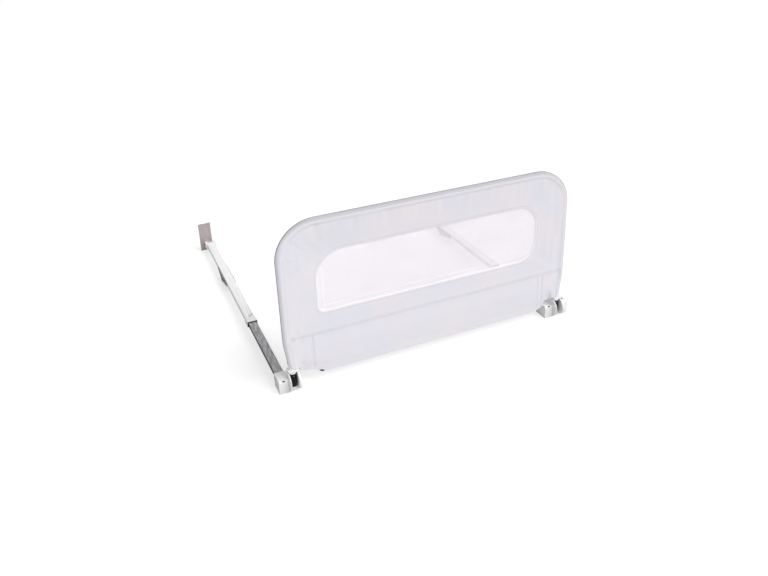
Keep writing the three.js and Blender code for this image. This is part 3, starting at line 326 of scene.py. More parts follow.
def soften(piece, width):
    """Rounds a piece's sharp edges and shades the rest flat."""
    modifier = piece.modifiers.new("edges", "BEVEL")
    modifier.width = width
    modifier.segments = 2
    modifier.limit_method = "ANGLE"
    modifier.angle_limit = math.radians(32)
    modifier.harden_normals = True
    return piece


def dress_node(node, material, bevel=0.0):
    """A CAD node whose shape is right keeps it, with softened edges and a better material."""
    piece = nodes[node]
    paint(piece, material)
    piece.data.shade_smooth()
    if bevel:
        soften(piece, bevel)
    return piece


def ring_faces(rings, size, loop=True, closed=True, turned=False, first=0):
    """Faces between rings of points: loop joins the last ring to the first, closed joins a ring's ends."""
    faces = []
    for ring in range(rings if loop else rings - 1):
        a = first + ring * size
        b = first + (ring + 1) % rings * size
        for k in range(size if closed else size - 1):
            over = (k + 1) % size
            faces.append((a + k, b + k, b + over, a + over) if turned else (a + k, a + over, b + over, b + k))
    return faces


def bar_faces(rings, size, turned=False, first=0):
    """Faces of a closed bar through rings of points, with both its ends."""
    last = first + (rings - 1) * size
    ends = [tuple(range(first + size - 1, first - 1, -1)), tuple(range(last, last + size))]
    if turned:
        ends = [end[::-1] for end in ends]
    return ring_faces(rings, size, loop=False, turned=turned, first=first) + ends


def face_outwards(piece, rounding=0):
    """Turns every face outwards, and rounds the sharp edges by so many millimetres."""
    bm = bmesh.new()
    bm.from_mesh(piece.data)
    bmesh.ops.recalc_face_normals(bm, faces=bm.faces)
    if rounding:
        sharp = [edge for edge in bm.edges if edge.calc_face_angle(0) > math.radians(35)]
        bmesh.ops.bevel(bm, geom=sharp, offset=rounding * MM, segments=4, profile=0.5, affect="EDGES")
    bm.to_mesh(piece.data)
    bm.free()
    return piece


def lathe(name, profile, axis, place, sides=64):
    """A closed turned body about x or z: points of (radius, height) from one end's centre to the other's."""
    angles = [2 * math.pi * i / sides for i in range(sides)]
    verts = []
    for radius, height in profile[1:-1]:
        verts += [(radius * math.cos(a), radius * math.sin(a), height) for a in angles]
    centre = len(verts)
    last = centre - sides
    verts += [(0, 0, profile[0][1]), (0, 0, profile[-1][1])]
    faces = ring_faces(len(profile) - 2, sides, loop=False)
    for i in range(sides):
        after = (i + 1) % sides
        faces += [(centre, after, i), (centre + 1, last + i, last + after)]
    turn = Matrix.Rotation(math.pi / 2, 4, "Y") if axis == "x" else Matrix()
    matrix = Matrix.Translation(place) @ turn
    piece = face_outwards(mesh_object(name, [matrix @ Vector(v) for v in verts], faces))
    piece.data.set_sharp_from_angle(angle=math.radians(40))
    return piece


def dome(radius, rise, steps):
    """From a dome's middle out to its rim: points of (radius, height)."""
    angles = (math.pi / 2 * i / steps for i in range(steps + 1))
    return [(radius * math.sin(a), rise * (1 - math.cos(a))) for a in angles]


def arc(centre, radius, start, end, steps=12):
    """Points along an arc, its angles in degrees."""
    angles = (math.radians(start + (end - start) * i / steps) for i in range(steps + 1))
    return [(centre[0] + radius * math.cos(a), centre[1] + radius * math.sin(a)) for a in angles]


def rounded_outline(a0, a1, b0, b1, radius):
    corners = ((a1, b0, -1, 1, -90), (a1, b1, -1, -1, 0), (a0, b1, 1, -1, 90), (a0, b0, 1, 1, 180))
    points = []
    for a, b, in_a, in_b, start in corners:
        points += arc((a + in_a * radius, b + in_b * radius), radius, start, start + 90, 8)
    return points


def prism(outline, axis, start, end, rounding=0):
    """A straight body: its outline across the axis, its ends along it, and how far its edges are rounded."""
    def place(a, b, along):
        return {"x": (along, a, b), "y": (a, along, b), "z": (a, b, along)}[axis]

    count = len(outline)
    verts = [place(a, b, along) for along in (start, end) for a, b in outline]
    faces = [tuple(range(count)), tuple(range(2 * count - 1, count - 1, -1))]
    faces += [(i, (i + 1) % count, (i + 1) % count + count, i + count) for i in range(count)]
    return verts, faces, rounding


def rod(radius, axis, start, end, centre, rounding=0, sides=96):
    return prism(arc(centre, radius, 0, 360, sides)[:-1], axis, start, end, rounding)


def brick(x0, x1, y0, y1, z0, z1, rounding=0):
    return prism([(x0, y0), (x1, y0), (x1, y1), (x0, y1)], "z", z0, z1, rounding)


def shell(name, part, origin):
    """A mesh of a part in millimetres about an origin."""
    verts, faces, rounding = part
    return face_outwards(mesh_object(name, [origin + Vector(v) * MM for v in verts], faces), rounding)


def combine(body, origin, parts, cuts):
    """Joins parts to a body and takes the cuts out of it."""
    tools = []
    for operation, group in (("UNION", parts), ("DIFFERENCE", cuts)):
        for part in group:
            tool = shell("tool", part, origin)
            modifier = body.modifiers.new("join", "BOOLEAN")
            modifier.operation = operation
            modifier.solver = "EXACT"
            modifier.object = tool
            tools.append(tool)
    bpy.context.view_layer.update()
    made = bpy.data.meshes.new_from_object(body.evaluated_get(bpy.context.evaluated_depsgraph_get()))
    body.modifiers.clear()
    body.data = made
    for tool in tools:
        bpy.data.objects.remove(tool)
    return body


def carve(name, origin, parts, cuts=()):
    """One body joined from parts about an origin, less the cuts, with every edge left by them broken."""
    body = combine(shell(name, parts[0], origin), origin, parts[1:], cuts)
    body.data.shade_smooth()
    return soften(body, 0.0003)


# Fabric cover. A sign of -1 is the left side or the lower edge, and 1 is the right side or the upper edge

SLEEVE_MM = 12.6
HEM_HALF_MM = 2.2
PANEL_HALF_MM = 520
PANEL_HEIGHT_MM = 540
CORNER_MM = 130
LEG_STRAIGHT_MM = 60
LEG_SPREAD_MM = 150
BAR_Z_MM = 154
BAR_HALF_MM = 10.6
WINDOW_HALF_MM = 399
WINDOW_LOW_MM = 218
WINDOW_HIGH_MM = 425
WINDOW_RADII_MM = {(-1, 1): 96, (1, 1): 77, (1, -1): 72, (-1, -1): 22}
HEM_RUN_MM = 118
HEM_RISE_MM = 45
LEFT_HEM_SHARES = [
    (0.06, 1), (0.17, 0.9), (0.25, 0.66), (0.37, 0.54), (0.54, 0.46),
    (0.66, 0.35), (0.78, 0.17), (0.9, 0.04), (1, 0),
]
RIGHT_HEM_SHARES = [
    (0.06, 1), (0.18, 0.95), (0.3, 0.88), (0.4, 0.82), (0.45, 0.62),
    (0.5, 0.36), (0.6, 0.18), (0.75, 0.06), (0.95, 0),
]
HEM_SHARES = {-1: LEFT_HEM_SHARES, 1: RIGHT_HEM_SHARES}
EXIT_Z_MM = 42.8
EXIT_REACH_MM = 21.6
BLOCK_CLEAR_MM = 37
BLOCK_REACH_MM = 51.5
SIDE_SEAM_MM = 428
VALLEY_HALF_MM = 10.8
BORDER_MM = 116
HEM_FADE_MM = 42
SEAM_STITCH_MM = 6.5
FOLD_X_MM = 455
FOLD_Z_MM = 470
FOLD_REACH_MM = 95
RAIL_WAVES_Z_MM = 440
LEG_WAVES_X_MM = 470
SIDE_STEPS = 56
CORNER_STEPS = 40
RAIL_STEPS = 110
HEM_STEPS = 90
SKIN_STEPS = 66
TURN_STEPS = 12
NET_PITCH_MM = 2.2
NET_INSET_MM = 3
NET_THREAD_HALVES_MM = (0.5, 0.18)
STITCH_PITCH_MM = 4.2
STITCH_LENGTH_MM = 2.8
STITCH_HALF_MM = 0.32
CLEAR_MM = 60
STITCH_SHARES = ((-1, -0.5), (-0.7, 0.8), (0.7, 0.8), (1, -0.5))

side_x = PANEL_HALF_MM - SLEEVE_MM
rail_z = PANEL_HEIGHT_MM - SLEEVE_MM
bend = CORNER_MM - SLEEVE_MM
bend_x = side_x - bend
bend_z = rail_z - bend


def smooth_share(value):
    value = min(max(value, 0.0), 1.0)
    return value * value * (3 - 2 * value)


def leg_x(z):
    """How far from the middle a frame tube is at a height: the legs stand nearer than the sides above."""
    share = smooth_share((z - LEG_STRAIGHT_MM) / (LEG_SPREAD_MM - LEG_STRAIGHT_MM))
    return HINGE_X + (side_x - HINGE_X) * share


def window_end(x_sign, z_sign, angle, inset=0):
    """A point on a window corner, drawn in by inset: angle 0 is on its upright side, 90 degrees its level."""
    radius = WINDOW_RADII_MM[x_sign, z_sign]
    centre_x = x_sign * (WINDOW_HALF_MM - radius)
    centre_z = (WINDOW_HIGH_MM if z_sign > 0 else WINDOW_LOW_MM) - z_sign * radius
    reach = radius - inset
    return centre_x + x_sign * reach * math.cos(angle), centre_z + z_sign * reach * math.sin(angle)


def curve_through(points, steps):
    """Catmull-Rom curve through points, steps per span, without the last point."""
    def blend(a, b, c, d, t):
        square, cube = 2 * a - 5 * b + 4 * c - d, 3 * b - a - 3 * c + d
        return 0.5 * (2 * b + (c - a) * t + square * t ** 2 + cube * t ** 3)

    padded = [points[0], *points, points[-1]]
    return [
        tuple(blend(*values, step / steps) for values in zip(*padded[i:i + 4]))
        for i in range(len(points) - 1) for step in range(steps)
    ]


def hem_corner(sign):
    """The hem's slope beside a leg, from the leg inwards, and the window's lower corner beside it."""
    points = [(sign * HINGE_X, LEG_STRAIGHT_MM)]
    for run, rise in HEM_SHARES[sign]:
        points.append((sign * (HINGE_X - HEM_RUN_MM * run), HEM_HALF_MM + HEM_RISE_MM * rise))
    line = [*curve_through(points, 10), points[-1]]
    turn = math.pi / 2 / (len(line) - 1)
    return [(x, max(z, HEM_HALF_MM), *window_end(sign, -1, turn * i)) for i, (x, z) in enumerate(line)]


def edge_places():
    """Round the cover: the edge's middle line, and the window's outline beside it."""
    places = []

    def shares(sign, steps):
        return (i / steps if sign < 0 else 1 - i / steps for i in range(steps))

    def side(sign):
        low, high = (window_end(sign, way, 0)[1] for way in (-1, 1))
        for share in shares(sign, SIDE_STEPS):
            z = LEG_STRAIGHT_MM + (bend_z - LEG_STRAIGHT_MM) * share
            places.append((sign * leg_x(z), z, sign * WINDOW_HALF_MM, low + (high - low) * share))

    def corner(sign):
        for share in shares(sign, CORNER_STEPS):
            angle = math.pi / 2 * share
            x, z = sign * (bend_x + bend * math.cos(angle)), bend_z + bend * math.sin(angle)
            places.append((x, z, *window_end(sign, 1, angle)))

    def level(start, end, steps, first=0):
        for i in range(first, steps):
            places.append(tuple(a + (b - a) * i / steps for a, b in zip(start, end)))

    right_hem, left_hem = hem_corner(1), hem_corner(-1)
    rail_ends = [(sign * bend_x, rail_z, *window_end(sign, 1, math.pi / 2)) for sign in (-1, 1)]
    side(-1)
    corner(-1)
    level(*rail_ends, RAIL_STEPS)
    corner(1)
    side(1)
    places += right_hem
    level(right_hem[-1], left_hem[-1], HEM_STEPS, first=1)
    return places + left_hem[:0:-1]


def wave(x, z, height, length, seed, across=1, down=1):
    """Smooth uneven waves. Across and down say how much they are squeezed along each way."""
    return height * noise.noise(Vector((x * across / length, z * down / length, seed)))


def bell(value, width):
    return math.exp(-(value / width) ** 2)


def corner_folds(x, z, seed):
    """Stress folds that run out of the two upper corners."""
    height = 0.0
    for sign in (-1, 1):
        dx, dz = sign * x - FOLD_X_MM, z - FOLD_Z_MM
        near = bell(math.hypot(dx, dz), FOLD_REACH_MM)
        height += near * wave(dx - dz, dx + dz, height=1.5, length=34, seed=seed, across=1.3, down=0.25)
    return height


def seam_grooves(x, z, low):
    """How deep the long seam over the cross bar and the two upright seams under it draw the cloth in."""
    below = smooth_share((BAR_Z_MM + 4 - z) / 11) * smooth_share(1 - (BAR_Z_MM - 7 - z) / 60)
    return 0.7 * bell(z - BAR_Z_MM - 2, 3) + 2.6 * below + 1.6 * low * bell(abs(x) - SIDE_SEAM_MM, 3.6)


def drape(x, z, share, seed):
    """How far the cloth stands proud of its tight form, in millimetres: waves, stress folds and seams."""
    from_seam = abs(x) - SIDE_SEAM_MM
    low = smooth_share((BAR_Z_MM - 4 - z) / 12)
    height = wave(x, z, height=1.1, length=170, seed=seed)
    height += wave(x, z, height=0.5, length=60, seed=seed + 3, down=0.7)
    under_rail = smooth_share((z - RAIL_WAVES_Z_MM) / 60)
    height += under_rail * wave(x, z, height=1.2, length=38, seed=seed + 5, across=1.6, down=0.3)
    height += corner_folds(x, z, seed + 7)
    beside_leg = bell(abs(x) - LEG_WAVES_X_MM, 30)
    height += beside_leg * wave(x, z, height=1.1, length=50, seed=seed + 9, across=2.2, down=0.25)
    fold = wave(x, z, height=0.8, length=30, seed=seed + 11, down=0.3) * bell(from_seam, 45)
    height += low * (fold + 0.8 * bell(from_seam + 9, 6))
    uneven = 0.5 + wave(x, 0, height=1, length=45, seed=seed + 13)
    height += 0.45 * math.sin(x / 6.5) * bell(z - BAR_Z_MM - 7, 9) * uneven
    inner = smooth_share(share / 0.12) * smooth_share((1 - share) / 0.1)
    return height * inner - seam_grooves(x, z, low) * smooth_share(share / 0.05)


def greater(a, b, blend=2.5):
    """The greater of two, with a soft change between them."""
    mix = min(max(0.5 + (a - b) / (2 * blend), 0), 1)
    return b + (a - b) * mix + blend * mix * (1 - mix)


def tube_distance(x, z):
    """Distance inwards from the middle line of the frame tubes."""
    if abs(x) > bend_x and z > bend_z:
        return bend - math.hypot(abs(x) - bend_x, z - bend_z)
    return -greater(abs(x) - leg_x(z), z - rail_z, 12)


def hem_height(x):
    """Height of the hem under a place. It is low beside the legs, where the cloth is full to its end."""
    run = (HINGE_X - abs(x)) / HEM_RUN_MM
    shares = HEM_SHARES[-1 if x < 0 else 1]
    for (start, start_rise), (end, end_rise) in zip(shares, shares[1:]):
        if start <= run < end:
            rise = start_rise + (end_rise - start_rise) * (run - start) / (end - start)
            return HEM_HALF_MM + HEM_RISE_MM * rise * smooth_share((run - 0.18) / 0.1)
    return HEM_HALF_MM


def plain_half(x, z):
    """Half thickness of the tight cover: it hugs the tubes, stands off the cross bar and thins to the hem."""
    away = max(tube_distance(x, z), 0)
    sleeve = math.sqrt(max(SLEEVE_MM ** 2 - away ** 2, 0))
    slack = HEM_HALF_MM + (VALLEY_HALF_MM - HEM_HALF_MM) * max(1 - away / BORDER_MM, 0)
    half = sleeve if away < 1 else greater(sleeve, slack, min(away * 0.4, 3))
    fall = (z - BAR_Z_MM) / (WINDOW_LOW_MM - BAR_Z_MM) if z > BAR_Z_MM else (BAR_Z_MM - z) / BAR_Z_MM
    bar = BAR_HALF_MM + (HEM_HALF_MM - BAR_HALF_MM) * min(fall, 1)
    if away > SLEEVE_MM:
        half = greater(half, bar, 2.5 * smooth_share((away - SLEEVE_MM) / 15))
    return HEM_HALF_MM + (half - HEM_HALF_MM) * smooth_share((z - hem_height(x)) / HEM_FADE_MM)


def to_frame(x, y, z):
    return ORIGIN + Vector((x, y, z)) * MM


def exit_height(x):
    """Cloth stays above this over the leg collars, and over the right hinge's block as the guard folds."""
    inwards = HINGE_X - abs(x)
    height = EXIT_Z_MM * smooth_share((EXIT_REACH_MM + 5 - inwards) / 5)
    if x > 0:
        height = max(height, BLOCK_CLEAR_MM * smooth_share((BLOCK_REACH_MM + 4 - inwards) / 4))
    return height


def outwards(before, after):
    """The way out of the cover, in (x, z), between two places on its edge."""
    along = Vector((after[0] - before[0], after[1] - before[1])).normalized()
    return Vector((-along.y, along.x))


def cover_side(place, seed):
    """One side of the cloth from the window out to a place on its edge: points of (x, half thickness, z)."""
    x, z, window_x, window_z = place
    points = []
    for j in range(SKIN_STEPS + 1):
        share = 1 - j / SKIN_STEPS
        px, pz = x + (window_x - x) * share, z + (window_z - z) * share
        half = HEM_HALF_MM + (plain_half(px, pz) - HEM_HALF_MM) * smooth_share((1 - share) / 0.05)
        half += drape(px, pz, share, seed)
        points.append((px, max(half, HEM_HALF_MM * 0.6), pz))
    return points


def cover_mesh():
    """The front's cloth, its turn round the edge and the back's cloth, ring by ring round the cover."""
    places = edge_places()
    verts = []
    for i, place in enumerate(places):
        x, z = place[:2]
        out = outwards(places[i - 1], places[(i + 1) % len(places)])
        radius = plain_half(x, z)
        ring = [(px, -half, pz) for px, half, pz in cover_side(place, seed=0.0)]
        for step in range(1, TURN_STEPS):
            angle = math.pi * step / TURN_STEPS
            reach = radius * math.sin(angle)
            ring.append((x + out.x * reach, -radius * math.cos(angle), z + out.y * reach))
        ring += reversed(cover_side(place, seed=50.0))
        verts += [to_frame(px, py, max(pz, exit_height(px))) for px, py, pz in ring]
    return verts, ring_faces(len(places), len(ring), closed=False, turned=True)


def make_cover():
    cover = mesh_object("cover", *cover_mesh())
    return finish_piece(cover, "guard", "cover_fabric", ["fabric_cover"])


def edge_tape():
    """Darker binding tape round the outermost line of the cover, from leg to leg over the top."""
    half_angle, steps, lift = math.radians(17), 4, 0.5
    angles = [half_angle * (2 * step / steps - 1) for step in range(steps + 1)]
    section = [(SLEEVE_MM + lift, angle) for angle in angles]
    section += [(SLEEVE_MM - lift, angle) for angle in reversed(angles)]
    places = edge_places()
    last = max(i for i, place in enumerate(places) if place[1] > LEG_STRAIGHT_MM)
    verts = []
    for i, (x, z, _, _) in enumerate(places[:last + 1]):
        out = outwards(places[max(i - 1, 0)], places[min(i + 1, last)])
        for radius, angle in section:
            reach = radius * math.cos(angle)
            verts.append(to_frame(x + out.x * reach, radius * math.sin(angle), z + out.y * reach))
    piece = mesh_object("edge_binding", verts, bar_faces(last + 1, len(section)))
    return finish_piece(piece, "guard", "binding")


def window_outline(inset, steps=24):
    """Round the window, starting at its upper left corner, drawn in by inset."""
    line = []
    for x_sign, z_sign in ((-1, 1), (1, 1), (1, -1), (-1, -1)):
        angles = [math.pi / 2 * i / steps for i in range(steps + 1)]
        if x_sign == z_sign:
            angles.reverse()
        line += [window_end(x_sign, z_sign, angle, inset) for angle in angles]
    return line


def window_binding():
    """Folded tape that joins both skins to the net, round the window's edge."""
    section = [(-1.0, -2.5), (-1.0, 2.5), (3.5, 2.0), (5.0, 0.9), (5.0, -0.9), (3.5, -2.0)]
    outlines = [window_outline(inset) for inset, _ in section]
    verts = [to_frame(x, half, z) for ring in zip(*outlines) for (x, z), (_, half) in zip(ring, section)]
    faces = ring_faces(len(outlines[0]), len(section), turned=True)
    piece = mesh_object("window_binding", verts, faces)
    piece.data.set_sharp_from_angle(angle=math.radians(50))
    return finish_piece(piece, "guard", "window_tape")


def window_span(outline, position, upright):
    """Where a net thread starts and ends inside the window, or None."""
    hits = []
    for i, (x, z) in enumerate(outline):
        nx, nz = outline[(i + 1) % len(outline)]
        a, b = (x, nx) if upright else (z, nz)
        if (a - position) * (b - position) < 0:
            share = (position - a) / (b - a)
            hits.append(z + (nz - z) * share if upright else x + (nx - x) * share)
    return (min(hits), max(hits)) if len(hits) >= 2 else None


def net_slack(x, z):
    slow = wave(x, z, height=1.3, length=120, seed=20, down=1.4)
    return slow + wave(x, z, height=0.5, length=45, seed=24, across=0.6, down=2)


def net_thread(upright, position, start, end, lift):
    """Points of one thread, in rings of four. It lies flat at its ends, where the binding holds it."""
    half_width, half_height = NET_THREAD_HALVES_MM
    steps = max(2, int((end - start) / 24))
    points = []
    for step in range(steps + 1):
        along = start + (end - start) * step / steps
        x, z = (position, along) if upright else (along, position)
        y = net_slack(x, z) * smooth_share(min(along - start, end - along) / 30) + lift
        for side, rise in ((-1, -1), (1, -1), (1, 1), (-1, 1)):
            dx, dz = (side * half_width, 0) if upright else (0, side * half_width)
            points.append(to_frame(x + dx, y + rise * half_height, z + dz))
    return points


def make_net():
    """A fine net of real crossed threads, slightly slack."""
    outline = window_outline(NET_INSET_MM, 12)
    verts, faces = [], []
    lift = NET_THREAD_HALVES_MM[1] / 2
    uprights = (True, -WINDOW_HALF_MM, WINDOW_HALF_MM, -lift)
    levels = (False, WINDOW_LOW_MM, WINDOW_HIGH_MM, lift)
    for upright, low, high, rise in (uprights, levels):
        for i in range(1, int((high - low) / NET_PITCH_MM)):
            position = low + NET_PITCH_MM * i
            span = window_span(outline, position, upright)
            if span and span[1] - span[0] > 3 * NET_PITCH_MM:
                points = net_thread(upright, position, *span, rise)
                faces += bar_faces(len(points) // 4, 4, first=len(verts))
                verts += points
    net = mesh_object("net", verts, faces, smooth=False)
    return finish_piece(net, "guard", "net_fabric", ["window_net"])


def stitch_points(place, normal, along):
    """One stitch: a short bar of thread laid on the cloth."""
    way = (along - normal * along.dot(normal)).normalized()
    across = way.cross(normal).normalized()
    return [
        place + (way * end * STITCH_LENGTH_MM / 2 + (across * side + normal * lift) * STITCH_HALF_MM) * MM
        for end in (-1, 1) for side, lift in STITCH_SHARES
    ]


def stitches(name, lines, cover, front):
    """Short thread stitches laid on the cover's surface along lines of (x, z)."""
    polygons = [polygon.vertices for polygon in cover.data.polygons]
    tree = BVHTree.FromPolygons([vertex.co for vertex in cover.data.vertices], polygons)
    towards = Vector((0, 1 if front else -1, 0))
    outside_mm = -CLEAR_MM * towards.y
    verts, faces = [], []
    for line in lines:
        rest = 0.0
        for (x0, z0), (x1, z1) in zip(line, line[1:]):
            run = math.hypot(x1 - x0, z1 - z0)
            along = Vector((x1 - x0, 0, z1 - z0)).normalized()
            while rest < run:
                share = rest / run
                rest += STITCH_PITCH_MM
                start = to_frame(x0 + (x1 - x0) * share, outside_mm, z0 + (z1 - z0) * share)
                hit, normal, _, _ = tree.ray_cast(start, towards)
                if hit is None:
                    continue
                if normal.dot(towards) > 0:
                    normal = -normal
                faces += bar_faces(2, 4, turned=True, first=len(verts))
                verts += stitch_points(hit, normal, along)
            rest -= run
    piece = mesh_object(name, verts, faces, smooth=False)
    return finish_piece(piece, "guard", "thread")


def stitch_lines():
    """Seams over the cross bar, along the hem, round the window and down the two sides of the lower panel."""
    seam_end = side_x - 14
    heights = (BAR_Z_MM + SEAM_STITCH_MM, BAR_Z_MM - SEAM_STITCH_MM)
    lines = [[(-seam_end, height), (seam_end, height)] for height in heights]
    lines.append([(x, z + 9) for x, z, _, _ in edge_places() if z < HEM_RISE_MM * 0.85])
    window = window_outline(-4)
    lines.append(window + window[:1])
    for sign, low in ((-1, 22), (1, 36)):
        x = sign * (SIDE_SEAM_MM + 5)
        lines.append([(x, BAR_Z_MM - 8), (x, low)])
    return lines


def hem_tab():
    """Small dark pull: a folded loop of tape sewn along the slope of the hem."""
    _, high, centre = box_axis("hem_pull")
    slope, half_length, height, fold, tape, steps = math.radians(-24), 0.0068, 0.0056, 0.0011, 0.0007, 10
    along = Vector((math.cos(slope), 0, math.sin(slope))) * half_length
    up = Vector((-math.sin(slope), 0, math.cos(slope))) * height
    foot = Vector((centre.x, high.y - 0.0002, centre.z - height * 0.9))
    verts = []
    for i in range(steps + 1):
        share = i / steps
        swell = fold * math.sin(math.pi * share)
        for end, lift in ((-1, 0), (-1, tape), (1, tape), (1, 0)):
            verts.append(foot + along * end + up * share - Vector((0, swell + lift, 0)))
    piece = mesh_object("hem_tab", verts, bar_faces(steps + 1, 4))
    return finish_piece(piece, "guard", "tab_tape", ["hem_pull"])


# Hinges and arms: values in millimetres about the hinge's own axis

OVERRUN = 2
JOIN_LAP = 0.1
FLOOR = -34
KNUCKLE_RADIUS = 12.4
KNUCKLE_HALF = 28
CUP_RISE = 9
CUP_INNER = 11.9
COLLAR_FOOT = 28.3
COLLAR_TOP = 42
SKIRT_FOOT = 34.8
SKIRT_X = (-15.7, 21)
SKIRT_DEPTH = 14
SKIRT_CORNER = 6
TUBE_BORE = 10.3
BLOCK_LEFT = 49.9
BLOCK_FRONT = 12
BLOCK_REAR = 44
BLOCK_TOP = 13
BLOCK_NOSE = 8
BLOCK_REAR_RIGHT = 14.4
BLOCK_ROUNDING = 1.4
NECK_LAP = 1.2
NECK_INSET = 0.6
CHEEK_INNER = 12.8
CHEEK_OUTER = 20.8
CHEEK_RADIUS = 31
CHEEK_STEP = 6
FLANGE_OUTER = 16
FLANGE_RADIUS = 33.5
BRIDGE = 8
BRIDGE_TOP = 4
BRIDGE_INSET = 0.4
SOCKET_DEPTH = 24
SOCKET_HALVES = (15.5, 7.8)
ARM_X = 32
ARM_Z = 2
SLOT_START = (-5.5, 6.5)
SLOT_X = (44.5, 26.5)
SLOT_HALF = 3
SLOT_REACH = (4, 14)
GROOVE_WIDTH = 1.6
GROOVE_DEPTH = 1.2
MARK_RADIUS = 1.7
MARK_DEPTH = 1.5
MARK_PLACE = (-26.5, -4)
COLLAR_LENGTH = 34
COLLAR_ROUNDING = 0.9
COLLAR_CORNER = 4.2
LIP = 2.2
RIM = 1.7
MOUTH_DEPTH = 6
SEAT_START = 4
BUTTON_PLAY_RADIUS = 4.4
BUTTON_BORE_RADIUS = 4.3
TUBE_WALL = 1.5
TUBE_CORNER = 3.6
INNER_CORNER = 2.6
BOSS_HALF = 6.5
BOSS_LAP = 4
BOSS_FOOT = 1.2
BOSS_RISE = 2.9
WEB_TOP = -7.6
WEB_INSET = 13
WEB_LENGTH = 60
BRACKET_SHEET = 2
BRACKET_EDGE = 0.5
HEEL = 3
LOBE_RADIUS = 15
LOBE_DEGREES = (216, 346)
TIP_HEIGHT = 5
TIP_CUT = 1.5
KNUCKLE_BODY = 18
FORK_RADIUS = 11.5
FORK_CHEEK = 11.7
FORK_LAP = 6


def knuckle_barrel(side):
    """Black barrel that turns on the pivot pin, with a seat for the leg's tube in its top."""
    radius, waist, cup, height = (v * MM for v in (KNUCKLE_RADIUS, CUP_INNER, CUP_RISE, 2 * KNUCKLE_HALF))
    edge, ledge, seat, depth = 0.0008, 0.0004, TUBE_BORE * MM, 0.013
    shoulder = cup + ledge / 2
    profile = [
        (0, 0), (waist - edge, 0), (waist, edge), (waist, shoulder), (radius - ledge, shoulder),
        (radius, shoulder + 0.0005), (radius, height - edge), (radius - edge, height), (seat, height),
        (seat, height - depth), (0, height - depth),
    ]
    origin = HINGES[side]
    barrel = lathe(f"{side}_knuckle_barrel", profile, "z", (origin.x, origin.y, origin.z - height / 2))
    finish_piece(barrel, "guard", "black_plastic", [f"{side}_knuckle"])


def dome_cap(side):
    """White cup round the barrel's foot, domed below."""
    origin = HINGES[side]
    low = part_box(f"{side}_knuckle_cap")[0][2]
    barrel_foot = origin.z - KNUCKLE_HALF * MM - low
    radius, play = KNUCKLE_RADIUS * MM, 0.0001
    wall_top, floor, inner = barrel_foot + CUP_RISE * MM, barrel_foot - play, CUP_INNER * MM + play
    profile = dome(radius, floor, 12)
    profile += [(radius, wall_top - 2 * play), (radius - play, wall_top), (inner, wall_top)]
    profile += [(inner, floor), (0, floor)]
    piece = lathe(f"{side}_dome_cap", profile, "z", (origin.x, origin.y, low))
    finish_piece(piece, "guard", "white_plastic", [f"{side}_knuckle_cap"])


def tube_collar(side):
    """White ring round the leg's foot, with a wider skirt over it."""
    ring = rod(KNUCKLE_RADIUS, "z", COLLAR_FOOT, COLLAR_TOP - 1, (0, 0), 0.4)
    skirt_outline = rounded_outline(*SKIRT_X, -SKIRT_DEPTH, SKIRT_DEPTH, SKIRT_CORNER)
    skirt = prism(skirt_outline, "z", SKIRT_FOOT, COLLAR_TOP, 1.2)
    bore = rod(TUBE_BORE, "z", COLLAR_FOOT - OVERRUN, COLLAR_TOP + OVERRUN, (0, 0))
    piece = carve(f"{side}_leg_collar", HINGES[side], [skirt, ring], [bore])
    finish_piece(piece, "guard", "white_plastic", [f"{side}_tube_collar"])


def arm_outline(grow=0, corner=INNER_CORNER):
    """The inner tube's outline with its play, drawn out by grow."""
    half_w, half_h = (half + grow for half in SOCKET_HALVES)
    return rounded_outline(-ARM_X - half_w, -ARM_X + half_w, ARM_Z - half_h, ARM_Z + half_h, corner)


def bracket_cuts():
    """The inner tube's socket, the lock slider's slot, a round mark and two grooves beside the flange."""
    lean = math.sqrt(0.5)
    near, far = SLOT_REACH
    slot = [
        (SLOT_START[0] + lean * (side_way - reach), SLOT_START[1] + lean * (side_way + reach))
        for reach, side_way in ((near, -SLOT_HALF), (far, -SLOT_HALF), (far, SLOT_HALF), (near, SLOT_HALF))
    ]
    groove = -FLANGE_OUTER - 1
    groove_foot = groove - GROOVE_WIDTH
    front = -BLOCK_FRONT - 1
    return [
        prism(arm_outline(), "y", BLOCK_REAR - SOCKET_DEPTH, BLOCK_REAR + OVERRUN),
        prism(slot, "x", -SLOT_X[0], -SLOT_X[1]),
        rod(MARK_RADIUS, "y", front, -BLOCK_FRONT + MARK_DEPTH, MARK_PLACE, sides=32),
        brick(groove_foot, groove, front, -BLOCK_FRONT + GROOVE_DEPTH, FLOOR - 1, BLOCK_TOP + 1),
        brick(groove_foot, groove, front, CHEEK_STEP + 8, BLOCK_TOP - 1, BLOCK_TOP + 1),
    ]


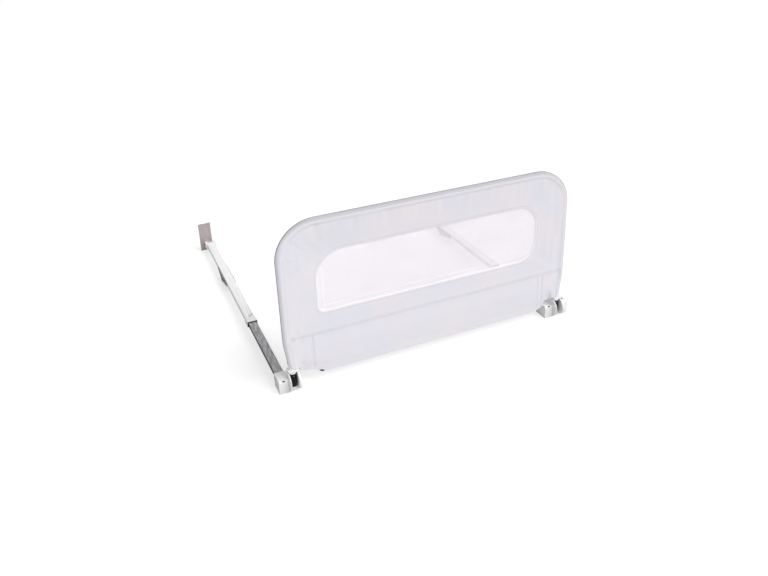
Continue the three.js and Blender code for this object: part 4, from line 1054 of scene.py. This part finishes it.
def hinge_bracket(side):
    """Arm socket block with its slot, the two round cheeks and the bridge behind the knuckle."""
    nose = arc((BLOCK_NOSE - BLOCK_FRONT, BLOCK_TOP - BLOCK_NOSE), BLOCK_NOSE, 90, 180)
    outline = [(-BLOCK_FRONT, FLOOR), (BLOCK_REAR, FLOOR), (BLOCK_REAR, BLOCK_TOP), *nose]
    bridge_ends = (-FLANGE_OUTER + BRIDGE_INSET, CHEEK_OUTER - BRIDGE_INSET)
    bridge_rear = BLOCK_REAR - BRIDGE_INSET / 2
    neck_rear, neck_top = BLOCK_REAR - NECK_INSET, BLOCK_TOP - NECK_INSET
    parts = [
        prism(outline, "x", -BLOCK_LEFT, -FLANGE_OUTER + JOIN_LAP, BLOCK_ROUNDING),
        brick(-FLANGE_OUTER - NECK_LAP, -BLOCK_REAR_RIGHT, CHEEK_STEP, neck_rear, FLOOR, neck_top),
        rod(FLANGE_RADIUS, "x", -FLANGE_OUTER, -CHEEK_INNER, (0, 0), 1),
        rod(CHEEK_RADIUS, "x", CHEEK_INNER, CHEEK_OUTER, (0, 0), BLOCK_ROUNDING),
        brick(CHEEK_INNER, CHEEK_OUTER, CHEEK_STEP, BLOCK_REAR, FLOOR, 0, 1),
        brick(*bridge_ends, BLOCK_REAR - BRIDGE, bridge_rear, FLOOR, BRIDGE_TOP, 0.6),
    ]
    piece = carve(f"{side}_bracket", HINGES[side], parts, bracket_cuts())
    finish_piece(piece, "base", "white_plastic", [f"{side}_hinge_bracket"])


def lock_housing():
    """Housing outside the right hinge, with the release button's hole and its screw's recess."""
    origin = HINGES["right"]
    low, high = box_from(origin, "lock_housing")
    hole_low, hole_high = box_from(origin, "release_button")
    screw = middle_from(origin, "housing_screw")
    play, below, above, recess_radius = 0.4, 5, 3, 3.5
    cuts = [
        brick(hole_low.x - play, hole_high.x + play, hole_low.y - play, hole_high.y + play,
              hole_low.z - below, hole_high.z + above),
        rod(recess_radius, "x", high.x - OVERRUN, high.x + OVERRUN, (screw.y, screw.z), sides=40),
    ]
    outline = rounded_outline(low.y, high.y, FLOOR, high.z, 6)
    piece = carve("release_housing", origin, [prism(outline, "x", low.x, high.x, 1.6)], cuts)
    finish_piece(piece, "base", "white_plastic", ["lock_housing"])


def rivet(node, body, name, head_radius, head_rise, both):
    """A rivet along X with a domed head at each end, or only at its left end."""
    low, high, centre = box_axis(node)
    shank = head_radius * 0.55
    length = high.x - low.x
    profile = [*dome(head_radius, head_rise, 5), (shank, head_rise)]
    if both:
        profile += [(radius, length - height) for radius, height in reversed(profile)]
    else:
        profile += [(shank, length - shank * 0.3), (shank * 0.7, length), (0, length)]
    piece = lathe(name, profile, "x", (low.x, centre.y, centre.z), sides=40)
    finish_piece(piece, body, "pin_steel", [node])


def arm_tube(node, body, name, material, corner):
    """A flat-sided tube with rounded corners and rolled ends, as rings round its outside and its mouths."""
    low, high, _ = box_axis(node)
    wall, radius, least_radius = TUBE_WALL * MM, corner * MM, 0.0003
    roll = wall * 0.45
    flat = roll + 0.0006
    mouth = ((flat, wall), (roll, wall), (0, wall - roll), (0, roll), (roll, 0), (flat, 0))
    stations = [(low.y + inwards, shrink) for inwards, shrink in mouth]
    stations += [(high.y - inwards, shrink) for inwards, shrink in reversed(mouth)]
    verts = []
    for y, shrink in stations:
        ring = rounded_outline(low.x + shrink, high.x - shrink, low.z + shrink, high.z - shrink,
                               radius - shrink if radius > shrink else least_radius)
        verts += [Vector((x, y, z)) for x, z in ring]
    piece = face_outwards(mesh_object(name, verts, ring_faces(len(stations), len(ring))))
    piece.data.set_sharp_from_angle(angle=math.radians(50))
    return finish_piece(piece, body, material, [node])


def coil(side):
    """Spring behind the lock slider, which closes as the slider is pushed."""
    node, name = f"{side}_lock_spring", f"{side}_lock_coil"
    low, high, centre = box_axis(node)
    length = high.x - low.x
    wire, turns, per_turn = 0.00035, 6, 16
    radius = (high.z - low.z) / 2 - wire
    curve = bpy.data.curves.new(name, "CURVE")
    curve.dimensions = "3D"
    curve.bevel_depth = wire
    curve.bevel_resolution = 2
    spline = curve.splines.new("POLY")
    count = turns * per_turn
    spline.points.add(count)
    for i, point in enumerate(spline.points):
        angle = 2 * math.pi * i / per_turn
        x = low.x + wire + (length - 2 * wire) * i / count
        point.co = (x, centre.y + radius * math.cos(angle), centre.z + radius * math.sin(angle), 1)
    drawn = bpy.data.objects.new("drawn_coil", curve)
    piece = add_object(name, bpy.data.meshes.new_from_object(drawn))
    finish_piece(piece, "base", "pin_steel", [node])
    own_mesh(piece)


def arm_collar(side):
    """Moulded ring at the outer tube's mouth, with the boss of the size button."""
    origin = ARMS[side]
    low, high = box_from(origin, f"{side}_arm_collar")
    button = middle_from(origin, f"{side}_size_button")
    start, end = low.y, low.y + COLLAR_LENGTH
    half = (high.x - low.x) / 2
    left, right = -ARM_X - half, -ARM_X + half
    foot, top = low.z, 2 * ARM_Z - low.z
    seat = rounded_outline(left + RIM, right - RIM, foot + RIM, top - RIM, 3)
    parts = [
        prism(rounded_outline(left, right, foot, top, COLLAR_CORNER), "y", start, end, COLLAR_ROUNDING),
        brick(button.x - BOSS_HALF, button.x + BOSS_HALF, end - BOSS_LAP, high.y,
              top - BOSS_FOOT, top + BOSS_RISE, COLLAR_ROUNDING),
    ]
    cuts = [
        prism(arm_outline(), "y", start - OVERRUN, start + MOUTH_DEPTH),
        prism(seat, "y", start + SEAT_START, high.y + OVERRUN),
        rod(BUTTON_PLAY_RADIUS, "z", ARM_Z, top + 8, (button.x, button.y), sides=48),
    ]
    piece = carve(f"{side}_collar", origin, parts, cuts)
    finish_piece(piece, f"{side}_arm", "white_plastic", [f"{side}_arm_collar"])


def collar_mouth_shade(side):
    """Black lip at the collar's mouth: a dark ring, painted shade that stands for the shadow in the gap round
    the inner tube.
    """
    origin = ARMS[side]
    start = box_from(origin, f"{side}_arm_collar")[0].y
    rim = prism(arm_outline(LIP, 3), "y", start - LIP, start + 1, 0.4)
    mouth = prism(arm_outline(), "y", start - 2 * OVERRUN, start + MOUTH_DEPTH)
    lip = carve(f"{side}_collar_mouth_shade", origin, [rim], [mouth])
    # Black plastic on this ring is painted shade for the gap at the mouth
    finish_piece(lip, f"{side}_arm", "black_plastic")


def size_button(side):
    low, high, centre = box_axis(f"{side}_size_button")
    radius, height = (high.x - low.x) / 2, high.z - low.z
    profile = [(0, 0), (radius, 0), *((r, height - rise) for r, rise in reversed(dome(radius, 0.0012, 6)))]
    piece = lathe(f"{side}_button", profile, "z", (centre.x, centre.y, low.z), sides=40)
    finish_piece(piece, f"{side}_size", "grey_plastic", [f"{side}_size_button"])


def fold_bracket(side):
    """Folded steel bracket: two plates with a round lobe for the fold pin, and the web under the tube."""
    origin = ARMS[side]
    low, high = box_from(origin, f"{side}_fold_bracket")
    pin = middle_from(origin, f"{side}_fold_pin")
    start, end, top = low.y, high.y, high.z
    half = (high.x - low.x) / 2
    left, right = -ARM_X - half, -ARM_X + half
    web_foot, web_start = WEB_TOP - BRACKET_SHEET, start + WEB_INSET
    outline = [(start + HEEL, top), (start, top - HEEL), (start, WEB_TOP), (web_start, web_foot)]
    outline += arc((pin.y, pin.z), LOBE_RADIUS, *LOBE_DEGREES, 24)
    outline += [(end, top - TIP_HEIGHT), (end, top - TIP_CUT), (end - TIP_CUT, top)]
    parts = [
        prism(outline, "x", left, left + BRACKET_SHEET, BRACKET_EDGE),
        brick(left + BRACKET_EDGE, right - BRACKET_EDGE, web_start, web_start + WEB_LENGTH,
              web_foot, WEB_TOP - JOIN_LAP),
        prism(outline, "x", right - BRACKET_SHEET, right, BRACKET_EDGE),
    ]
    piece = carve(f"{side}_bracket_plates", origin, parts)
    finish_piece(piece, f"{side}_arm", "dark_steel", [f"{side}_fold_bracket"])


def end_knuckle(side):
    """Block in the far tube's end, and the fork that holds the anchor plate's pin."""
    origin = ARMS[side]
    low, high = box_from(origin, f"{side}_end_knuckle")
    pin = middle_from(origin, f"{side}_anchor_pin")
    start = box_from(origin, f"{side}_far_tube")[1].y + 0.3
    end = start + KNUCKLE_BODY
    foot, top = pin.z - FORK_RADIUS, pin.z + FORK_RADIUS
    cheek_start = end - FORK_LAP
    cheek = [(cheek_start, foot), *arc((pin.y, pin.z), FORK_RADIUS, -90, 90, 32), (cheek_start, top)]
    parts = [prism(rounded_outline(low.x, high.x, foot - 0.2, top + 0.4, 3), "y", start, end, 1)]
    parts += [prism(cheek, "x", x, x + FORK_CHEEK, 1) for x in (low.x, high.x - FORK_CHEEK)]
    piece = carve(f"{side}_fork", origin, parts)
    finish_piece(piece, f"{side}_far_arm", "white_plastic", [f"{side}_end_knuckle"])


def make_rivets(side):
    """Rivets: node, piece, body, the heads' radius and rise in metres, and whether both ends have one."""
    arm = f"{side}_arm"
    for node, name, body, head_radius, head_rise, both in (
        ("pivot_pin", "hinge_pin", "base", 0.0055, 0.0022, True),
        ("socket_rivet", "socket_pin", "base", 0.0045, 0.0012, False),
        ("bracket_rivet", "bracket_pin", arm, 0.005, 0.0014, True),
        ("fold_pin", "folding_pin", arm, 0.0065, 0.002, True),
        ("anchor_pin", "plate_pin", f"{side}_far_arm", 0.006, 0.0022, True),
    ):
        rivet(f"{side}_{node}", body, f"{side}_{name}", head_radius, head_rise, both)


def make_hinge(side):
    knuckle_barrel(side)
    dome_cap(side)
    tube_collar(side)
    hinge_bracket(side)
    coil(side)


def make_arm(side):
    arm_tube(f"{side}_inner_tube", "base", f"{side}_inner_arm", "tube_steel", INNER_CORNER)
    outer = arm_tube(f"{side}_outer_tube", f"{side}_arm", f"{side}_outer_arm", "white_steel", TUBE_CORNER)
    button = middle_from(ARMS[side], f"{side}_size_button")
    button_hole = rod(BUTTON_BORE_RADIUS, "z", ARM_Z, ARM_Z + 20, (button.x, button.y), sides=48)
    combine(outer, ARMS[side], [], [button_hole])
    arm_collar(side)
    collar_mouth_shade(side)
    size_button(side)
    fold_bracket(side)
    arm_tube(f"{side}_far_tube", f"{side}_far_arm", f"{side}_far_arm_tube", "white_steel", TUBE_CORNER)
    end_knuckle(side)


def dress_nodes():
    """The CAD nodes that keep their shape."""
    for side in SIDES:
        for node, material, bevel in (
            ("upright", "white_steel", 0), ("cross_bar_screw", "pin_steel", 0),
            ("tube_rivet", "pin_steel", 0.0003), ("lock_slider", "black_plastic", 0.0003),
            ("fold_lug", "black_plastic", 0.0005), ("lug_rivet", "pin_steel", 0.0002),
            ("anchor_plate", "bare_steel", 0.0004),
        ):
            dress_node(f"{side}_{node}", material, bevel)
    dress_node("top_rail", "white_steel")
    dress_node("cross_bar", "white_steel")
    dress_node("release_button", "black_plastic", 0.0008)
    dress_node("housing_screw", "pin_steel", 0.0002)


# Stage

CAMERA_PLACE = Vector((-0.952, -2.441, 1.416))
CAMERA_YAW_DEGREES = 23.09
CAMERA_PITCH_DEGREES = 23.08
CAMERA_ROLL_DEGREES = 2.12
FOCAL_SHARE = 726.6 / 768
SHIFT_UP_SHARE = -77 / 768
SENSOR = 36
WORLD_LEVEL = 0.5
FLOOR_HALF = 12
FLOOR_WHITE = 0.6
FLOOR_GLOW = 0.55


def make_camera():
    degrees = (CAMERA_YAW_DEGREES, CAMERA_PITCH_DEGREES, CAMERA_ROLL_DEGREES)
    yaw, pitch, roll = (math.radians(v) for v in degrees)
    ahead = Vector((math.sin(yaw) * math.cos(pitch), math.cos(yaw) * math.cos(pitch), -math.sin(pitch)))
    right = Vector((math.cos(yaw), -math.sin(yaw), 0))
    down = ahead.cross(right)
    turned_right = right * math.cos(roll) + down * math.sin(roll)
    turned_down = down * math.cos(roll) - right * math.sin(roll)
    camera = add_object("camera", bpy.data.cameras.new("camera"))
    basis = Matrix((turned_right, -turned_down, -ahead)).transposed().to_4x4()
    camera.matrix_world = Matrix.Translation(CAMERA_PLACE) @ basis
    camera.data.sensor_width = SENSOR
    camera.data.lens = SENSOR * FOCAL_SHARE
    camera.data.shift_y = SHIFT_UP_SHARE
    bpy.context.scene.camera = camera


def make_floor():
    """A white floor that glows a little for the camera, so that it joins the white beyond it."""
    corners = [(FLOOR_HALF * x, FLOOR_HALF * y, 0) for x, y in ((-1, -1), (1, -1), (1, 1), (-1, 1))]
    floor = mesh_object("floor", corners, [(0, 1, 2, 3)])
    looks = {"Base_Color": (*[FLOOR_WHITE] * 3, 1), "Roughness": 0.9, "Specular_IOR_Level": 0.0}
    material, tree, shader = new_material("pale_floor", **looks)
    seen = tree.nodes.new("ShaderNodeLightPath").outputs["Is Camera Ray"]
    glow = add_node(tree, "ShaderNodeEmission", Strength=add_math(tree, "MULTIPLY", seen, FLOOR_GLOW))
    both = tree.nodes.new("ShaderNodeAddShader")
    tree.links.new(shader.outputs["BSDF"], both.inputs[0])
    tree.links.new(glow.outputs["Emission"], both.inputs[1])
    feed(tree.nodes["Material Output"], Surface=both.outputs["Shader"])
    floor.data.materials.append(material)


def make_world():
    """White where it is seen, mirrored or seen through, and dimmer as light."""
    world = bpy.data.worlds.new("studio")
    bpy.context.scene.world = world
    world.use_nodes = True
    tree = world.node_tree
    ray = tree.nodes.new("ShaderNodeLightPath").outputs
    seen = add_math(tree, "MAXIMUM", ray["Is Camera Ray"], ray["Is Glossy Ray"])
    through = add_math(tree, "MAXIMUM", seen, ray["Is Transmission Ray"])
    feed(tree.nodes["Background"], Color=(1, 1, 1, 1), Strength=spread(tree, through, low=WORLD_LEVEL))


def distant_lamp(name, direction, level, width):
    """A lamp from afar: direction points at it, and level is what it adds to a white face turned to it."""
    lamp = bpy.data.lights.new(name, "SUN")
    lamp.energy = level * math.pi
    lamp.angle = math.radians(width)
    holder = add_object(name, lamp)
    holder.location = Vector(direction) * 3
    holder.rotation_mode = "QUATERNION"
    holder.rotation_quaternion = (-Vector(direction)).to_track_quat("-Z", "Y")


def make_lights():
    distant_lamp("key", (0.5, -0.5, 0.75), level=0.55, width=40)
    distant_lamp("front_fill", (-0.15, -0.95, 0.3), level=0.2, width=60)
    bpy.context.scene.view_settings.view_transform = "Standard"


make_camera()
make_world()
make_lights()
make_floor()
dress_nodes()
lock_housing()
for side in SIDES:
    make_hinge(side)
    make_arm(side)
    make_rivets(side)
cover = make_cover()
net = make_net()
seams = stitch_lines()
edges = [
    edge_tape(), window_binding(), stitches("front_stitches", seams, cover, front=True),
    stitches("back_stitches", seams, cover, front=False), hem_tab(),
]
